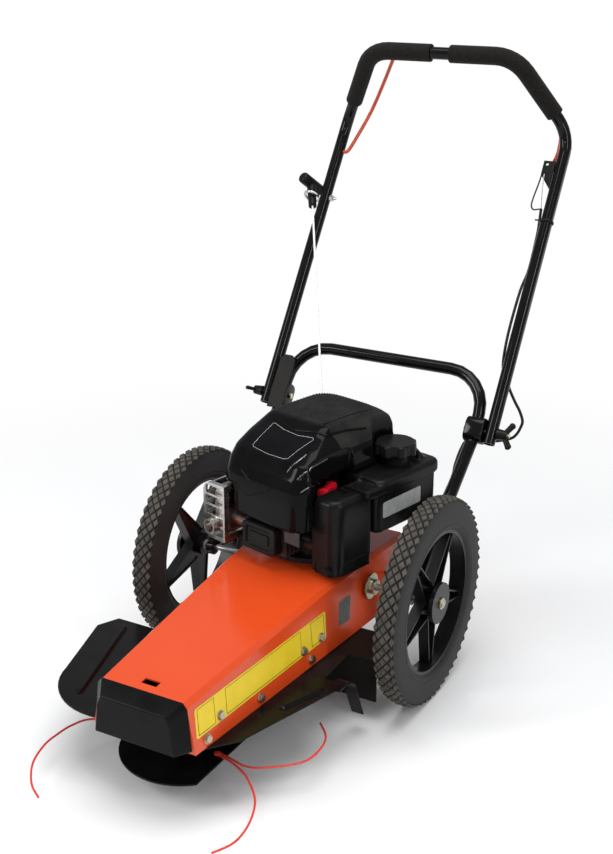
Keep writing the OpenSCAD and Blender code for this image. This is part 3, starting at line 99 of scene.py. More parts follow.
# %% Camera
PICTURE_WIDE, PICTURE_HIGH = 613, 854
FOCAL_PIXELS = 1343.67
SENSOR = 36
camera_data = bpy.data.cameras.new("photo_camera")
camera_data.sensor_width = SENSOR
camera_data.lens = SENSOR * FOCAL_PIXELS / PICTURE_HIGH
camera = bpy.data.objects.new("photo_camera", camera_data)
scene.collection.objects.link(camera)
azimuth, height = math.radians(29.353), math.radians(20.425)
back = Vector((
    math.sin(azimuth) * math.cos(height),
    -math.cos(azimuth) * math.cos(height),
    math.sin(height),
))
camera.location = spot((1172.6, -2091.0, 1397.8))
camera.rotation_euler = back.to_track_quat("Z", "Y").to_euler()
scene.camera = camera
print("lens", round(camera_data.lens, 2), "mm")

# %% [markdown]
# Every finish is a Principled shader whose colour, roughness and bump come from noise in the object's own
# coordinates. One helper builds them all: a soft cloud shifts the colour and the gloss, and a fine grain
# makes the bump. What is the same all over stays on the shader's own sockets.


# %% Finish helper
def make_finish(name, dark, light, rough, spread=0.06, cloud=25.0, fine=700.0, bump=0.15, depth=0.2,
                metal=0.0, coat=0.0, sheen=0.0, shine=0.5, stretch=(1, 1, 1), turn=(0, 0, 0)):
    """A material: two close colours, a roughness with its spread, and a grain whose depth is in millimetres."""
    material = bpy.data.materials.new(name)
    material.use_nodes = True
    tree = material.node_tree
    shader = tree.nodes["Principled BSDF"]
    shader.inputs["Metallic"].default_value = metal
    shader.inputs["Specular IOR Level"].default_value = shine
    shader.inputs["Coat Weight"].default_value = coat
    shader.inputs["Coat Roughness"].default_value = 0.08
    shader.inputs["Sheen Weight"].default_value = sheen
    coords = tree.nodes.new("ShaderNodeTexCoord")
    mapping = tree.nodes.new("ShaderNodeMapping")
    mapping.inputs["Scale"].default_value = stretch
    mapping.inputs["Rotation"].default_value = turn
    tree.links.new(coords.outputs["Object"], mapping.inputs["Vector"])
    patches = tree.nodes.new("ShaderNodeTexNoise")
    patches.inputs["Scale"].default_value = cloud
    patches.inputs["Detail"].default_value = 5
    tree.links.new(mapping.outputs["Vector"], patches.inputs["Vector"])
    ramp = tree.nodes.new("ShaderNodeValToRGB")
    ramp.color_ramp.elements[0].position, ramp.color_ramp.elements[1].position = 0.32, 0.68
    ramp.color_ramp.elements[0].color = (*dark, 1)
    ramp.color_ramp.elements[1].color = (*light, 1)
    tree.links.new(patches.outputs["Fac"], ramp.inputs["Fac"])
    tree.links.new(ramp.outputs["Color"], shader.inputs["Base Color"])
    gloss = tree.nodes.new("ShaderNodeMapRange")
    gloss.inputs["To Min"].default_value = max(rough - spread, 0.02)
    gloss.inputs["To Max"].default_value = min(rough + spread, 1.0)
    tree.links.new(patches.outputs["Fac"], gloss.inputs["Value"])
    tree.links.new(gloss.outputs["Result"], shader.inputs["Roughness"])
    grain = tree.nodes.new("ShaderNodeTexNoise")
    grain.inputs["Scale"].default_value = fine
    grain.inputs["Detail"].default_value = 3
    tree.links.new(mapping.outputs["Vector"], grain.inputs["Vector"])
    relief = tree.nodes.new("ShaderNodeBump")
    relief.inputs["Strength"].default_value = bump
    relief.inputs["Distance"].default_value = depth * MM
    tree.links.new(grain.outputs["Fac"], relief.inputs["Height"])
    tree.links.new(relief.outputs["Normal"], shader.inputs["Normal"])
    return material


# %% [markdown]
# The machine's finishes: gloss orange paint with a little orange peel, gloss black tube and hood, satin
# mouldings, foam, tyre rubber, zinc and bare metals. Black things are never quite black, so each has its
# own warm or cold grey.

# %% Finishes
ORANGE = make_finish("orange_paint", (0.68, 0.0655, 0.0108), (0.70, 0.0685, 0.0115), 0.22, 0.03, cloud=9, fine=260,
                     bump=0.03, depth=0.3, coat=0.2, shine=0.4)
BAIL_ORANGE = make_finish("bail_paint", (0.44, 0.045, 0.010), (0.55, 0.062, 0.014), 0.34, 0.06, coat=0.1)
TUBE_BLACK = make_finish("tube_paint", (0.0025, 0.0024, 0.0023), (0.005, 0.0048, 0.0045), 0.1, 0.02, fine=320,
                         bump=0.008, coat=0.05, shine=0.17)
HOOD_BLACK = make_finish("hood_gloss", (0.0024, 0.0024, 0.0027), (0.0044, 0.0044, 0.005), 0.12, 0.03, fine=240,
                         bump=0.015, coat=0.03, shine=0.08)
FIN_GLOSS = make_finish("fin_gloss", (0.006, 0.006, 0.006), (0.010, 0.010, 0.010), 0.1, 0.04, fine=240, bump=0.02,
                        coat=1.0, shine=1.0)
GRILLE_BLACK = make_finish("grille_plastic", (0.010, 0.0095, 0.009), (0.02, 0.019, 0.018), 0.46, 0.1, fine=1500,
                           bump=0.3, shine=0.14)
SATIN_BLACK = make_finish("satin_plastic", (0.0042, 0.0041, 0.004), (0.0085, 0.0082, 0.008), 0.3, 0.06, fine=1300,
                          bump=0.15, shine=0.14)
WARM_BLACK = make_finish("warm_satin_paint", (0.0066, 0.0053, 0.0044), (0.012, 0.0097, 0.008), 0.4, 0.1, fine=900,
                         bump=0.2, shine=0.12)
PLATE_BLACK = make_finish("plate_paint", (0.0036, 0.0034, 0.0034), (0.007, 0.0066, 0.0064), 0.22, 0.06, fine=420,
                          bump=0.06, coat=0.03, shine=0.11)
NOSE_BLACK = make_finish("nose_plastic", (0.0034, 0.0034, 0.0038), (0.006, 0.006, 0.0066), 0.25, 0.06, fine=1100,
                         bump=0.08, shine=0.1)
FOAM = make_finish("grip_foam", (0.0052, 0.0044, 0.0038), (0.0115, 0.0098, 0.0085), 0.88, 0.06, cloud=180, fine=2600,
                   bump=0.7, depth=0.4, sheen=0.05, shine=0.15)
TYRE = make_finish("tyre_side", (0.017, 0.017, 0.0172), (0.026, 0.0258, 0.0256), 0.6, 0.08, cloud=14, fine=900,
                   bump=0.2, shine=0.22)
TREAD = make_finish("tread_dust", (0.046, 0.042, 0.036), (0.092, 0.084, 0.072), 0.8, 0.08, cloud=60, fine=1300,
                    bump=0.4, depth=0.3, shine=0.25)
# Groove floors: the tyre's rubber painted darker than the sidewall, as painted shade in the recesses between the
# blocks.
GROOVE_SHADE = make_finish("tread_groove_shade", (0.008, 0.0077, 0.0072), (0.014, 0.0132, 0.0122), 0.75, 0.08, cloud=60, fine=1300,
                     bump=0.3, shine=0.2)
RIM_BLACK = make_finish("rim_plastic", (0.004, 0.004, 0.0042), (0.0085, 0.0085, 0.009), 0.3, 0.07, fine=1000,
                        bump=0.15, shine=0.24)
# Cast metal: a dark grey of its own, made darker still as painted shade for the parts that sit under the hood and
# housing.
SHADE_DARK_CAST = make_finish("cast_metal", (0.030, 0.029, 0.028), (0.058, 0.056, 0.053), 0.55, 0.1, cloud=60, fine=900, bump=0.6,
                   depth=0.4, metal=0.7)
ZINC = make_finish("yellow_zinc", (0.42, 0.37, 0.25), (0.62, 0.57, 0.44), 0.3, 0.1, cloud=140, fine=900, bump=0.15,
                   metal=1.0)
STEEL = make_finish("bare_steel", (0.42, 0.42, 0.42), (0.6, 0.6, 0.6), 0.32, 0.1, cloud=60, fine=500, bump=0.15,
                    metal=1.0, stretch=(1, 6, 1))
SILVER = make_finish("guard_silver", (0.46, 0.45, 0.43), (0.66, 0.65, 0.63), 0.27, 0.08, cloud=50, fine=500, bump=0.12,
                     metal=1.0)
HEAT_STEEL = make_finish("warm_steel", (0.46, 0.42, 0.38), (0.64, 0.61, 0.58), 0.3, 0.1, cloud=40, fine=600, bump=0.2,
                         metal=1.0)
KNOB_RED = make_finish("knob_red", (0.62, 0.008, 0.02), (0.74, 0.014, 0.03), 0.28, 0.06, fine=900, bump=0.1, coat=0.2)
LINE_RED = make_finish("line_red", (0.62, 0.035, 0.022), (0.78, 0.055, 0.03), 0.36, 0.06, cloud=90, fine=1600, bump=0.1)
ROPE = make_finish("rope_braid", (0.74, 0.73, 0.70), (0.84, 0.83, 0.80), 0.8, 0.08, cloud=420, fine=900, bump=0.4,
                   depth=0.4, turn=(0.6, 0.3, 0.5), stretch=(1, 1, 0.5))
CABLE = make_finish("cable_jacket", (0.004, 0.004, 0.004), (0.009, 0.009, 0.009), 0.4, 0.08, cloud=120, fine=1500,
                    bump=0.15, shine=0.25)
WIRE = make_finish("inner_wire", (0.55, 0.54, 0.5), (0.72, 0.71, 0.68), 0.35, 0.08, cloud=200, fine=1800, bump=0.3,
                   metal=0.8)
PAPER = make_finish("filter_paper", (0.6, 0.55, 0.42), (0.74, 0.7, 0.58), 0.85, 0.05, cloud=120, fine=900, bump=0.4)
NYLON = make_finish("bush_nylon", (0.7, 0.69, 0.64), (0.8, 0.79, 0.75), 0.5, 0.06, fine=900, bump=0.1)
YELLOW = make_finish("yellow_strip", (0.78, 0.56, 0.012), (0.84, 0.62, 0.02), 0.4, 0.06, cloud=30, fine=900, bump=0.06)
PALE_PLATE = make_finish("pale_plate", (0.34, 0.35, 0.35), (0.46, 0.46, 0.45), 0.5, 0.08, cloud=80, fine=900, bump=0.1)
GREY_PLATE = make_finish("grey_plate", (0.10, 0.10, 0.10), (0.17, 0.17, 0.165), 0.45, 0.08, cloud=140, fine=900,
                         bump=0.12)
DULL_PLATE = make_finish("dull_plate", (0.026, 0.026, 0.03), (0.042, 0.042, 0.047), 0.45, 0.08, cloud=140, fine=900,
                         bump=0.12, shine=0.3)
print("finishes", len(bpy.data.materials))

# %% [markdown]
# Cords come next, because their room is measured. A cord is a round tube along a few chosen points, with a
# smooth curve through them, the same points that its CAD solid follows. Where a cord crosses a joint it is
# a plain mesh, attached to no body.


# %% Cord helpers
def smooth_points(points, steps):
    """A smooth route through chosen points, in the shared frame."""
    p = [spot(q) for q in points]
    route = []
    for i in range(len(p) - 1):
        a, b, c, d = p[max(i - 1, 0)], p[i], p[i + 1], p[min(i + 2, len(p) - 1)]
        for k in range(steps):
            t = k / steps
            route.append((2 * b + (c - a) * t + (2 * a - 5 * b + 4 * c - d) * t * t
                          + (3 * b - a - 3 * c + d) * t ** 3) / 2)
    return route + [p[-1]]


def route_length(route):
    return sum((b - a).length for a, b in zip(route, route[1:]))


def smooth_mesh(mesh, angle):
    """Round shading, with edges sharper than the angle kept sharp."""
    mesh.polygons.foreach_set("use_smooth", [True] * len(mesh.polygons))
    mesh.set_sharp_from_angle(angle=math.radians(angle))


def evaluated_mesh(piece):
    """The mesh of a curve or of a piece with its modifiers."""
    return bpy.data.meshes.new_from_object(piece.evaluated_get(bpy.context.evaluated_depsgraph_get()))


def round_tube(name, route, radius, finish):
    """A mesh tube with round sides and closed ends along a route."""
    curve = bpy.data.curves.new(name, "CURVE")
    curve.dimensions = "3D"
    curve.bevel_depth = radius
    curve.bevel_resolution = 3
    curve.use_fill_caps = True
    line = curve.splines.new("POLY")
    line.points.add(len(route) - 1)
    for point, place in zip(line.points, route):
        point.co = (*place, 1)
    shape = bpy.data.objects.new(name + "_line", curve)
    scene.collection.objects.link(shape)
    mesh = evaluated_mesh(shape)
    bpy.data.objects.remove(shape)
    bm = bmesh.new()
    bm.from_mesh(mesh)
    bmesh.ops.remove_doubles(bm, verts=bm.verts[:], dist=1e-6)
    bmesh.ops.recalc_face_normals(bm, faces=bm.faces[:])
    bm.to_mesh(mesh)
    bm.free()
    mesh.name = name
    smooth_mesh(mesh, 50)
    mesh.materials.clear()
    mesh.materials.append(finish)
    piece = bpy.data.objects.new(name, mesh)
    scene.collection.objects.link(piece)
    return piece


# %% Trimmer lines
LINE_R = 2 * MM
LINES = {
    "right_front_line": ("right_line", [
        (70, -440, 55), (97, -446, 55), (124, -457, 54), (149, -472, 52), (186, -510, 48), (206, -560, 43),
        (209, -610, 40), (192, -650, 40)]),
    "right_rear_line": ("right_line", [
        (70, -434, 55), (100, -440, 55), (124, -444, 54), (151, -436, 54), (203, -390, 54), (214, -346, 54),
        (204, -299, 54), (174, -265, 54)]),
    "left_front_line": ("left_line", [
        (-70, -437, 54), (-130, -437, 54), (-192, -456, 54), (-214, -485, 51), (-222, -520, 48), (-222, -555, 46),
        (-206, -604, 44), (-172, -648, 42), (-136, -673, 42)]),
}
for name, (node, points) in LINES.items():
    route = smooth_points(points, 5)
    line_piece = round_tube(name, route, LINE_R, LINE_RED)
    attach(line_piece, "cutter_head")
    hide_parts(node)
    print(name, round(route_length(route), 3), "m")

# %% [markdown]
# The control cable runs from a bracket down the arm, bows out at the fold and goes into the housing. It
# crosses the fold and is attached to no body. A thin wire loop and the inner wire meet it below the bracket.

# %% Control cable
CABLE_R = 3 * MM
upper_points = [
    (234, 576, 846), (237, 561, 820), (241, 541, 797), (242, 500, 733), (242, 456, 698), (242, 402, 624),
    (243, 378, 568), (250, 370, 545), (260, 366, 531), (268, 358, 518), (283, 354, 494), (294, 352, 478)]
lower_points = [
    (301, 352, 458), (297, 352, 442), (290, 352, 428), (279, 352, 417), (255, 346, 409), (232, 326, 410),
    (206, 300, 417), (202, 274, 406), (203, 244, 382), (206, 222, 362), (203, 160, 312), (198, 110, 262),
    (183, 76, 220), (165, 66, 204), (152, 65, 203), (135, 65, 203)]
cable_route = smooth_points(upper_points + lower_points, 5)
cable = round_tube("control_cable", cable_route, CABLE_R, CABLE)
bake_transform(cable)
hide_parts("upper_cables", "lower_cables")
print("control cable", round(route_length(cable_route), 3), "m")

# %% Wire loop and inner wire
wire_places = {
    "wire_loop": (1.6, CABLE, [
        (234, 570, 922), (232, 556, 900), (230, 536, 876), (231, 524, 862), (232, 534, 852), (233, 560, 848),
        (234, 576, 846)]),
    "inner_wire": (1.0, WIRE, [(234, 583, 918), (233, 579, 890), (234, 576, 846)]),
}
for name, (radius, finish, points) in wire_places.items():
    route = smooth_points(points, 6)
    wire = round_tube(name, route, radius * MM, finish)
    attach(wire, "upper_handle")
    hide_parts("upper_cables")
    print(name, round(route_length(route), 3), "m")

# %% [markdown]
# The starter rope is pulled taut from the grille to the guide on the handle. The grip pulls out of the guide,
# so a second short length lies inside both and stretches between them.

# %% Starter rope
ROPE_R = 2.25 * MM
ROPE_WAY = Vector((-0.426492, 0.6915, 0.583038))
eye = Vector(spot((-294, 542.56, 829.14)))
rope_exit = spot((-52.5, 151, 499)) - ROPE_WAY * 6 * MM
rope_end = eye - ROPE_WAY * 30.1 * MM
ROPE_STEPS = 36
rope_route = [rope_exit.lerp(rope_end, i / ROPE_STEPS) for i in range(ROPE_STEPS + 1)]
rope = round_tube("starter_rope_braid", rope_route, ROPE_R, ROPE)
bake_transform(rope)
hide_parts("starter_rope")
pull_low = eye - ROPE_WAY * 26 * MM
pull_high = eye + ROPE_WAY * 20 * MM
pull_route = [pull_low.lerp(pull_high, i / 12) for i in range(13)]
pull_rope = round_tube("starter_rope_in_grip", pull_route, ROPE_R * 0.98, ROPE)
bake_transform(pull_rope)
print("starter rope", round(route_length(rope_route), 3), "m")

# %% [markdown]
# Solid pieces whose shape is right keep their CAD mesh. It comes as loose triangles, so a Weld joins them,
# flat triangles are dissolved into whole faces, a narrow Bevel rounds the edges that catch the light, and
# weighted normals keep the flats flat. Swept tubes have no edges to round: they only get round shading.


# %% Dressing helper
def soften(piece, width):
    """A live bevel on sharp edges, its width in millimetres, with weighted normals."""
    bevel = piece.modifiers.new("edge", "BEVEL")
    bevel.width = width * MM
    bevel.segments = 2
    bevel.limit_method = "ANGLE"
    bevel.angle_limit = math.radians(32)
    normals = piece.modifiers.new("normals", "WEIGHTED_NORMAL")
    normals.keep_sharp = True


def dress(finish, edges):
    """Gives CAD nodes a finish and edge rounding in millimetres; zero means round shading alone."""
    for node, edge in edges.items():
        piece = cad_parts[node]
        piece.data.materials.clear()
        piece.data.materials.append(finish)
        piece.data.polygons.foreach_set("use_smooth", [True] * len(piece.data.polygons))
        weld = piece.modifiers.new("weld", "WELD")
        weld.merge_threshold = 1e-5
        if edge == 0:
            split = piece.modifiers.new("sharp", "EDGE_SPLIT")
            split.split_angle = math.radians(40)
            continue
        flat = piece.modifiers.new("flat", "DECIMATE")
        flat.decimate_type = "DISSOLVE"
        flat.angle_limit = math.radians(0.8)
        soften(piece, edge)


# %% Dress the CAD nodes
dress(ORANGE, {"belt_housing": 1.2})
dress(BAIL_ORANGE, {"bail": 0})
dress(NOSE_BLACK, {"nose_bumper": 2.0})
dress(PLATE_BLACK, {"guard_plate": 0.8, "line_plate": 0.8, "cable_bracket": 0.6})
dress(WARM_BLACK, {"left_stay": 0.8, "rear_flap": 0.8})
dress(TUBE_BLACK, {"upper_handle": 0, "lower_handle": 0})
dress(FOAM, {"handle_grips": 4.5})
dress(RIM_BLACK, {"left_rim": 0.7, "right_rim": 0.7, "ground_ball": 0.8})
dress(SATIN_BLACK, {
    "starter_grip": 0, "filter_base": 0.8, "dipstick_tube": 0.4,
    "idler_pulley": 0.6, "rope_drum": 0.4})
dress(ZINC, {
    "housing_bolts": 0.5, "axle_collars": 0.8, "wheel_retainers": 0.5, "clamp_bolts": 0.5, "engine_bolts": 0.5,
    "idler_arm": 0.5, "idler_pivot": 0.5})
dress(STEEL, {
    "axle": 0.5, "crankshaft": 0.5, "drive_pulley": 0.5, "driven_pulley": 0.5, "spindle": 0.5, "spindle_bearings": 0.4})
# The cast parts' dark colour is partly their own grey and partly painted shade, where they sit under the hood and
# housing.
dress(SHADE_DARK_CAST, {"engine_block": 0.9, "carburettor": 0.8, "flywheel": 0.8, "spindle_housing": 1.0})
dress(SILVER, {"rope_guide": 0})
dress(CABLE, {"spark_plug": 1.0, "drive_belt": 0.6})
dress(PAPER, {"filter_element": 0.8})
dress(NYLON, {"wheel_bushes": 0.5})
print("dressed", sum(bool(o.modifiers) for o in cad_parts.values()), "nodes")

# %% [markdown]
# New pieces are made with bmesh operators in a work frame and kept with one helper, which carries them to
# the shared frame, merges doubles, turns the faces outwards and makes the piece ride on its body.


# %% Piece helper
def keep(bm, name, finishes, body, base=AXLE, replaced=(), angle=35):
    """Turns a bmesh in metres of a work frame into a piece that rides on a body."""
    bmesh.ops.transform(bm, matrix=base, verts=bm.verts[:])
    bmesh.ops.remove_doubles(bm, verts=bm.verts[:], dist=1e-6)
    bmesh.ops.recalc_face_normals(bm, faces=bm.faces[:])
    mesh = bpy.data.meshes.new(name)
    bm.to_mesh(mesh)
    bm.free()
    smooth_mesh(mesh, angle)
    for finish in finishes:
        mesh.materials.append(finish)
    piece = bpy.data.objects.new(name, mesh)
    scene.collection.objects.link(piece)
    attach(piece, body)
    if replaced:
        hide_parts(*replaced)
    print(name, len(mesh.polygons), "faces")
    return piece


def box(bm, low, high):
    """A cube between two corners, in millimetres of the work frame; returns its vertices."""
    verts = bmesh.ops.create_cube(bm, size=1)["verts"]
    low, high = Vector(low) * MM, Vector(high) * MM
    bmesh.ops.scale(bm, vec=high - low, verts=verts)
    bmesh.ops.translate(bm, vec=(low + high) / 2, verts=verts)
    return verts


def edges_where(verts, test):
    """Edges with both ends among these vertices that pass a test of their two end points, in millimetres."""
    inside = set(verts)
    found = {e for v in verts for e in v.link_edges if all(x in inside for x in e.verts)}
    return [e for e in found if test(e.verts[0].co / MM, e.verts[1].co / MM)]


def edges_at(bm, level):
    """Edges that lie at one level, in millimetres."""
    return [e for e in bm.edges if all(abs(v.co.z / MM - level) < 0.1 for v in e.verts)]


def extruded(bm, faces):
    """Extrudes faces; returns the vertices of their copies."""
    found = bmesh.ops.extrude_face_region(bm, geom=faces)["geom"]
    return [g for g in found if isinstance(g, bmesh.types.BMVert)]


def turn_about(bm, verts, angle, axis):
    bmesh.ops.rotate(bm, cent=(0, 0, 0), matrix=Matrix.Rotation(angle, 3, axis), verts=verts)


def round_edges(bm, edges, radius, segments=4):
    bmesh.ops.bevel(bm, geom=edges, offset=radius * MM, offset_type="OFFSET", affect="EDGES", segments=segments,
                    profile=0.5, material=-1)


def loose_object(bm, name):
    bmesh.ops.recalc_face_normals(bm, faces=bm.faces[:])
    mesh = bpy.data.meshes.new(name)
    bm.to_mesh(mesh)
    bm.free()
    made = bpy.data.objects.new(name, mesh)
    scene.collection.objects.link(made)
    return made


def add_cuts(shape, tools):
    """Takes tools out of a shape. The manifold solver gives the same cut each run."""
    for tool in tools:
        cut = shape.modifiers.new("cut", "BOOLEAN")
        cut.operation = "DIFFERENCE"
        cut.solver = "MANIFOLD"
        cut.object = tool


def made_of(shape, tools):
    """The bmesh of a shape with its modifiers; the shape and its tools are used up."""
    mesh = evaluated_mesh(shape)
    for spare in [shape, *tools]:
        bpy.data.objects.remove(spare)
    made = bmesh.new()
    made.from_mesh(mesh)
    bpy.data.meshes.remove(mesh)
    return made


def moulded(shape, voxel, rounds, tools=()):
    """Joins overlapping solids into one skin with the soft edges of a moulding, after cutting tools from it."""
    skin = shape.modifiers.new("skin", "REMESH")
    skin.mode = "VOXEL"
    skin.voxel_size = voxel * MM
    add_cuts(shape, tools)
    if tools:
        again = shape.modifiers.new("skin_again", "REMESH")
        again.mode = "VOXEL"
        again.voxel_size = voxel * MM
    soft = shape.modifiers.new("soft", "SMOOTH")
    soft.factor = 0.5
    soft.iterations = rounds
    return made_of(shape, tools)


def drum(bm, place, radius, high, top_radius=None, segments=48):
    """An upright cylinder or cone that stands on a place, in millimetres; returns its vertices."""
    top_radius = radius if top_radius is None else top_radius
    verts = bmesh.ops.create_cone(bm, cap_ends=True, segments=segments, radius1=radius * MM, radius2=top_radius * MM,
                                  depth=high * MM)["verts"]
    bmesh.ops.translate(bm, vec=(Vector(place) + Vector((0, 0, high / 2))) * MM, verts=verts)
    return verts


def lying_drum(bm, axis, place, radius, high, top_radius=None, back=0, segments=48):
    """A drum turned on its side about an axis; its foot lies back from the place, in millimetres."""
    verts = drum(bm, (0, 0, -back), radius, high, top_radius, segments)
    turn_about(bm, verts, math.radians(90), axis)
    bmesh.ops.translate(bm, vec=Vector(place) * MM, verts=verts)


# %% [markdown]
# A tyre is a turned form: its half section is drawn once and spun round the axle. The tread is a net of
# small diamonds in two staggered rows, cut by crossing grooves. One cell of blocks is modelled and spun as
# copies, because a bump would not show on the outline.

# %% Tyres
SIDE_PROFILE = [
    (16.5, 140.2), (19.5, 143.5), (21.6, 147), (22, 150), (21.3, 151.2), (21.3, 152.8), (22, 154), (22, 168),
    (21.6, 180), (20.8, 189), (18.6, 195.2), (13, 198.7), (6.5, 199.9)]
CELLS = 58
CELL_TURN = 2 * math.pi / CELLS
BLOCK_LONG = 9.4
BLOCK_WIDE = 6.9
SIDE_BLOCK_WIDE = 5.2
BLOCK_RISE = 2.3
BLOCK_SINK = 0.6
STEPS_ROUND = 120
CROWN_R, CROWN_DROP, HALF_TREAD = 200.2, 5, 22
SHADED_GROOVE_RADIUS = 196.5
WHEEL_OUT, WHEEL_HIGH = 263, 203


def crown(axial):
    """The tread's radius at a distance from the middle of the tyre."""
    return CROWN_R - CROWN_DROP * (axial / HALF_TREAD) ** 2


def tread_block(bm, axial, half_wide, turn):
    """A diamond block on the crown, turned round the axle by a part of a cell."""
    verts = bmesh.ops.create_circle(bm, cap_ends=True, radius=1, segments=4)["verts"]
    bmesh.ops.scale(bm, vec=(half_wide * MM, BLOCK_LONG * MM, 1), verts=verts)
    top = extruded(bm, [verts[0].link_faces[0]])
    bmesh.ops.scale(bm, vec=(0.82, 0.82, 1), verts=top)
    bmesh.ops.translate(bm, vec=(0, 0, (BLOCK_RISE + BLOCK_SINK) * MM), verts=top)
    block = verts + top
    turn_about(bm, block, math.atan(2 * CROWN_DROP * axial / HALF_TREAD ** 2), "Y")
    bmesh.ops.translate(bm, vec=(axial * MM, 0, (crown(axial) - BLOCK_SINK) * MM), verts=block)
    turn_about(bm, block, turn, "X")


def tyre(name, x, body, node):
    bm = bmesh.new()
    section = SIDE_PROFILE + [(0, CROWN_R)] + [(-a, r) for a, r in reversed(SIDE_PROFILE)]
    ring = [bm.verts.new((a * MM, 0, r * MM)) for a, r in section]
    for a, b in zip(ring, ring[1:] + ring[:1]):
        bm.edges.new((a, b))
    bmesh.ops.spin(bm, geom=bm.verts[:] + bm.edges[:], cent=(0, 0, 0), axis=(1, 0, 0), angle=2 * math.pi,
                   steps=STEPS_ROUND, use_merge=True)
    # Faces beyond this radius are the groove floors between the blocks; they take the darker rubber of painted shade.
    for face in bm.faces:
        face.material_index = 1 if face.calc_center_median().yz.length > SHADED_GROOVE_RADIUS * MM else 0
    carcass = set(bm.faces)
    for axial in (-16, 0, 16):
        tread_block(bm, axial, BLOCK_WIDE if axial == 0 else SIDE_BLOCK_WIDE, 0)
    for axial in (-8, 8):
        tread_block(bm, axial, BLOCK_WIDE, CELL_TURN / 2)
    blocks = [f for f in bm.faces if f not in carcass]
    for face in blocks:
        face.material_index = 2
    parts = blocks + list({e for f in blocks for e in f.edges}) + list({v for f in blocks for v in f.verts})
    bmesh.ops.spin(bm, geom=parts, cent=(0, 0, 0), axis=(1, 0, 0), angle=CELL_TURN * (CELLS - 1), steps=CELLS - 1,
                   use_duplicate=True)
    base = AXLE @ Matrix.Translation((x * MM, 0, WHEEL_HIGH * MM))
    keep(bm, name, [TYRE, GROOVE_SHADE, TREAD], body, base, [node], 30)


tyre("right_tyre_tread", WHEEL_OUT, "right_wheel", "right_tyre")
tyre("left_tyre_tread", -WHEEL_OUT, "left_wheel", "left_tyre")

# %% [markdown]
# The engine's hood is the most looked-at form. It is drawn up from a rounded plate in plan, section by
# section, as its CAD solid is. Its right rear corner is pushed out and squared above the tank. A subdivision
# surface turns the sections into one drawn-in dome, and cutters then take out the pockets for filter, tank,
# cap and muffler.


# %% Hood dome
def rounded_plate(bm, low, high, level, front_round, rear_round):
    """A face with round corners in plan, between (u, v) corners; the front is where v is low."""
    verts = bmesh.ops.create_grid(bm, x_segments=1, y_segments=1, size=0.5)["verts"]
    size = Vector((high[0] - low[0], high[1] - low[1], 1)) * MM
    span = max(v.co.x for v in verts) - min(v.co.x for v in verts)
    bmesh.ops.scale(bm, vec=(size.x / span, size.y / span, 1), verts=verts)
    middle = ((low[0] + high[0]) / 2 * MM, (low[1] + high[1]) / 2 * MM, level * MM)
    bmesh.ops.translate(bm, vec=middle, verts=verts)
    for front, radius in ((True, front_round), (False, rear_round)):
        corners = [v for v in bm.verts if v.co.y < middle[1]] if front else [
            v for v in bm.verts if v.co.y > middle[1] and abs(abs(v.co.x - middle[0]) - size.x / 2) < 1e-6]
        bmesh.ops.bevel(bm, geom=corners, offset=radius * MM, offset_type="OFFSET", affect="VERTICES", segments=5,
                        profile=0.5, material=-1)
    return bm.faces[:][0]


def draw_up(bm, face, old, new):
    """Extrudes a face and maps its plan and level from one section to the next."""
    found = bmesh.ops.extrude_face_region(bm, geom=[face])["geom"]
    top = [g for g in found if isinstance(g, bmesh.types.BMFace)][0]
    (w0, a0, b0, c0, d0), (w1, a1, b1, c1, d1) = old, new
    for vert in top.verts:
        u, v = vert.co.x / MM, vert.co.y / MM
        vert.co = Vector((a1 + (u - a0) * (b1 - a1) / (b0 - a0), c1 + (v - c0) * (d1 - c1) / (d0 - c0), w1)) * MM
    return top


HOOD_SECTIONS = [
    (91, -107, 107, -158, 150), (94, -107, 107, -158, 150), (150, -107.5, 107.5, -158.5, 150.5),
    (172, -107, 107, -157, 150), (196, -105, 104.5, -148, 147), (218, -102.5, 101, -132, 141),
    (236, -101, 83, -97, 142), (250, -99, 66, -62, 140), (259, -95, 63, -46, 131), (263.5, -92, 61, -38, 124),
    (265, -86, 58, -32, 118)]
RIGHT_REAR = {196: 0, 218: 0, 236: 12, 250: 20, 259: 8}
FRONT_ROUND, REAR_ROUND = 34, 70
SQUARENESS = 0.72
base_level, left, right, front, rear = HOOD_SECTIONS[0]

bm = bmesh.new()
top = rounded_plate(bm, (left, front), (right, rear), base_level, FRONT_ROUND, REAR_ROUND)
for old, new in zip(HOOD_SECTIONS, HOOD_SECTIONS[1:]):
    top = draw_up(bm, top, old, new)
for level, low_u, high_u, low_v, high_v in HOOD_SECTIONS:
    if level not in RIGHT_REAR:
        continue
    wide = REAR_ROUND * (high_u - low_u) / (right - left)
    long = REAR_ROUND * (high_v - low_v) / (rear - front)
    for vert in bm.verts:
        p, q = (vert.co.x / MM - high_u) / wide + 1, (vert.co.y / MM - high_v) / long + 1
        if abs(vert.co.z / MM - level) < 0.1 and p > -0.01 and q > -0.01:
            square = max(p, q) ** SQUARENESS
            vert.co.x = (high_u + RIGHT_REAR[level] + wide * (p / square - 1)) * MM
            vert.co.y = (high_v + long * (q / square - 1)) * MM
bmesh.ops.inset_region(bm, faces=[top], thickness=9 * MM, depth=0.6 * MM)
dome = loose_object(bm, "hood_dome")
rounding = dome.modifiers.new("rounding", "SUBSURF")
rounding.levels = rounding.render_levels = 2
print("hood sections", len(HOOD_SECTIONS))


# %% Hood pockets
def prism(bm, outline, place, depth):
    """A polygon's prism: place turns an outline point into u, v, w, and depth is the way it is drawn."""
    face = bm.faces.new([bm.verts.new(Vector(place(*p)) * MM) for p in outline])
    bmesh.ops.translate(bm, vec=Vector(depth) * MM, verts=extruded(bm, [face]))


def side_pocket(inner):
    return [(inner, 60), (inner, 164), (92, 184), (92, 320), (260, 320), (260, 60)]


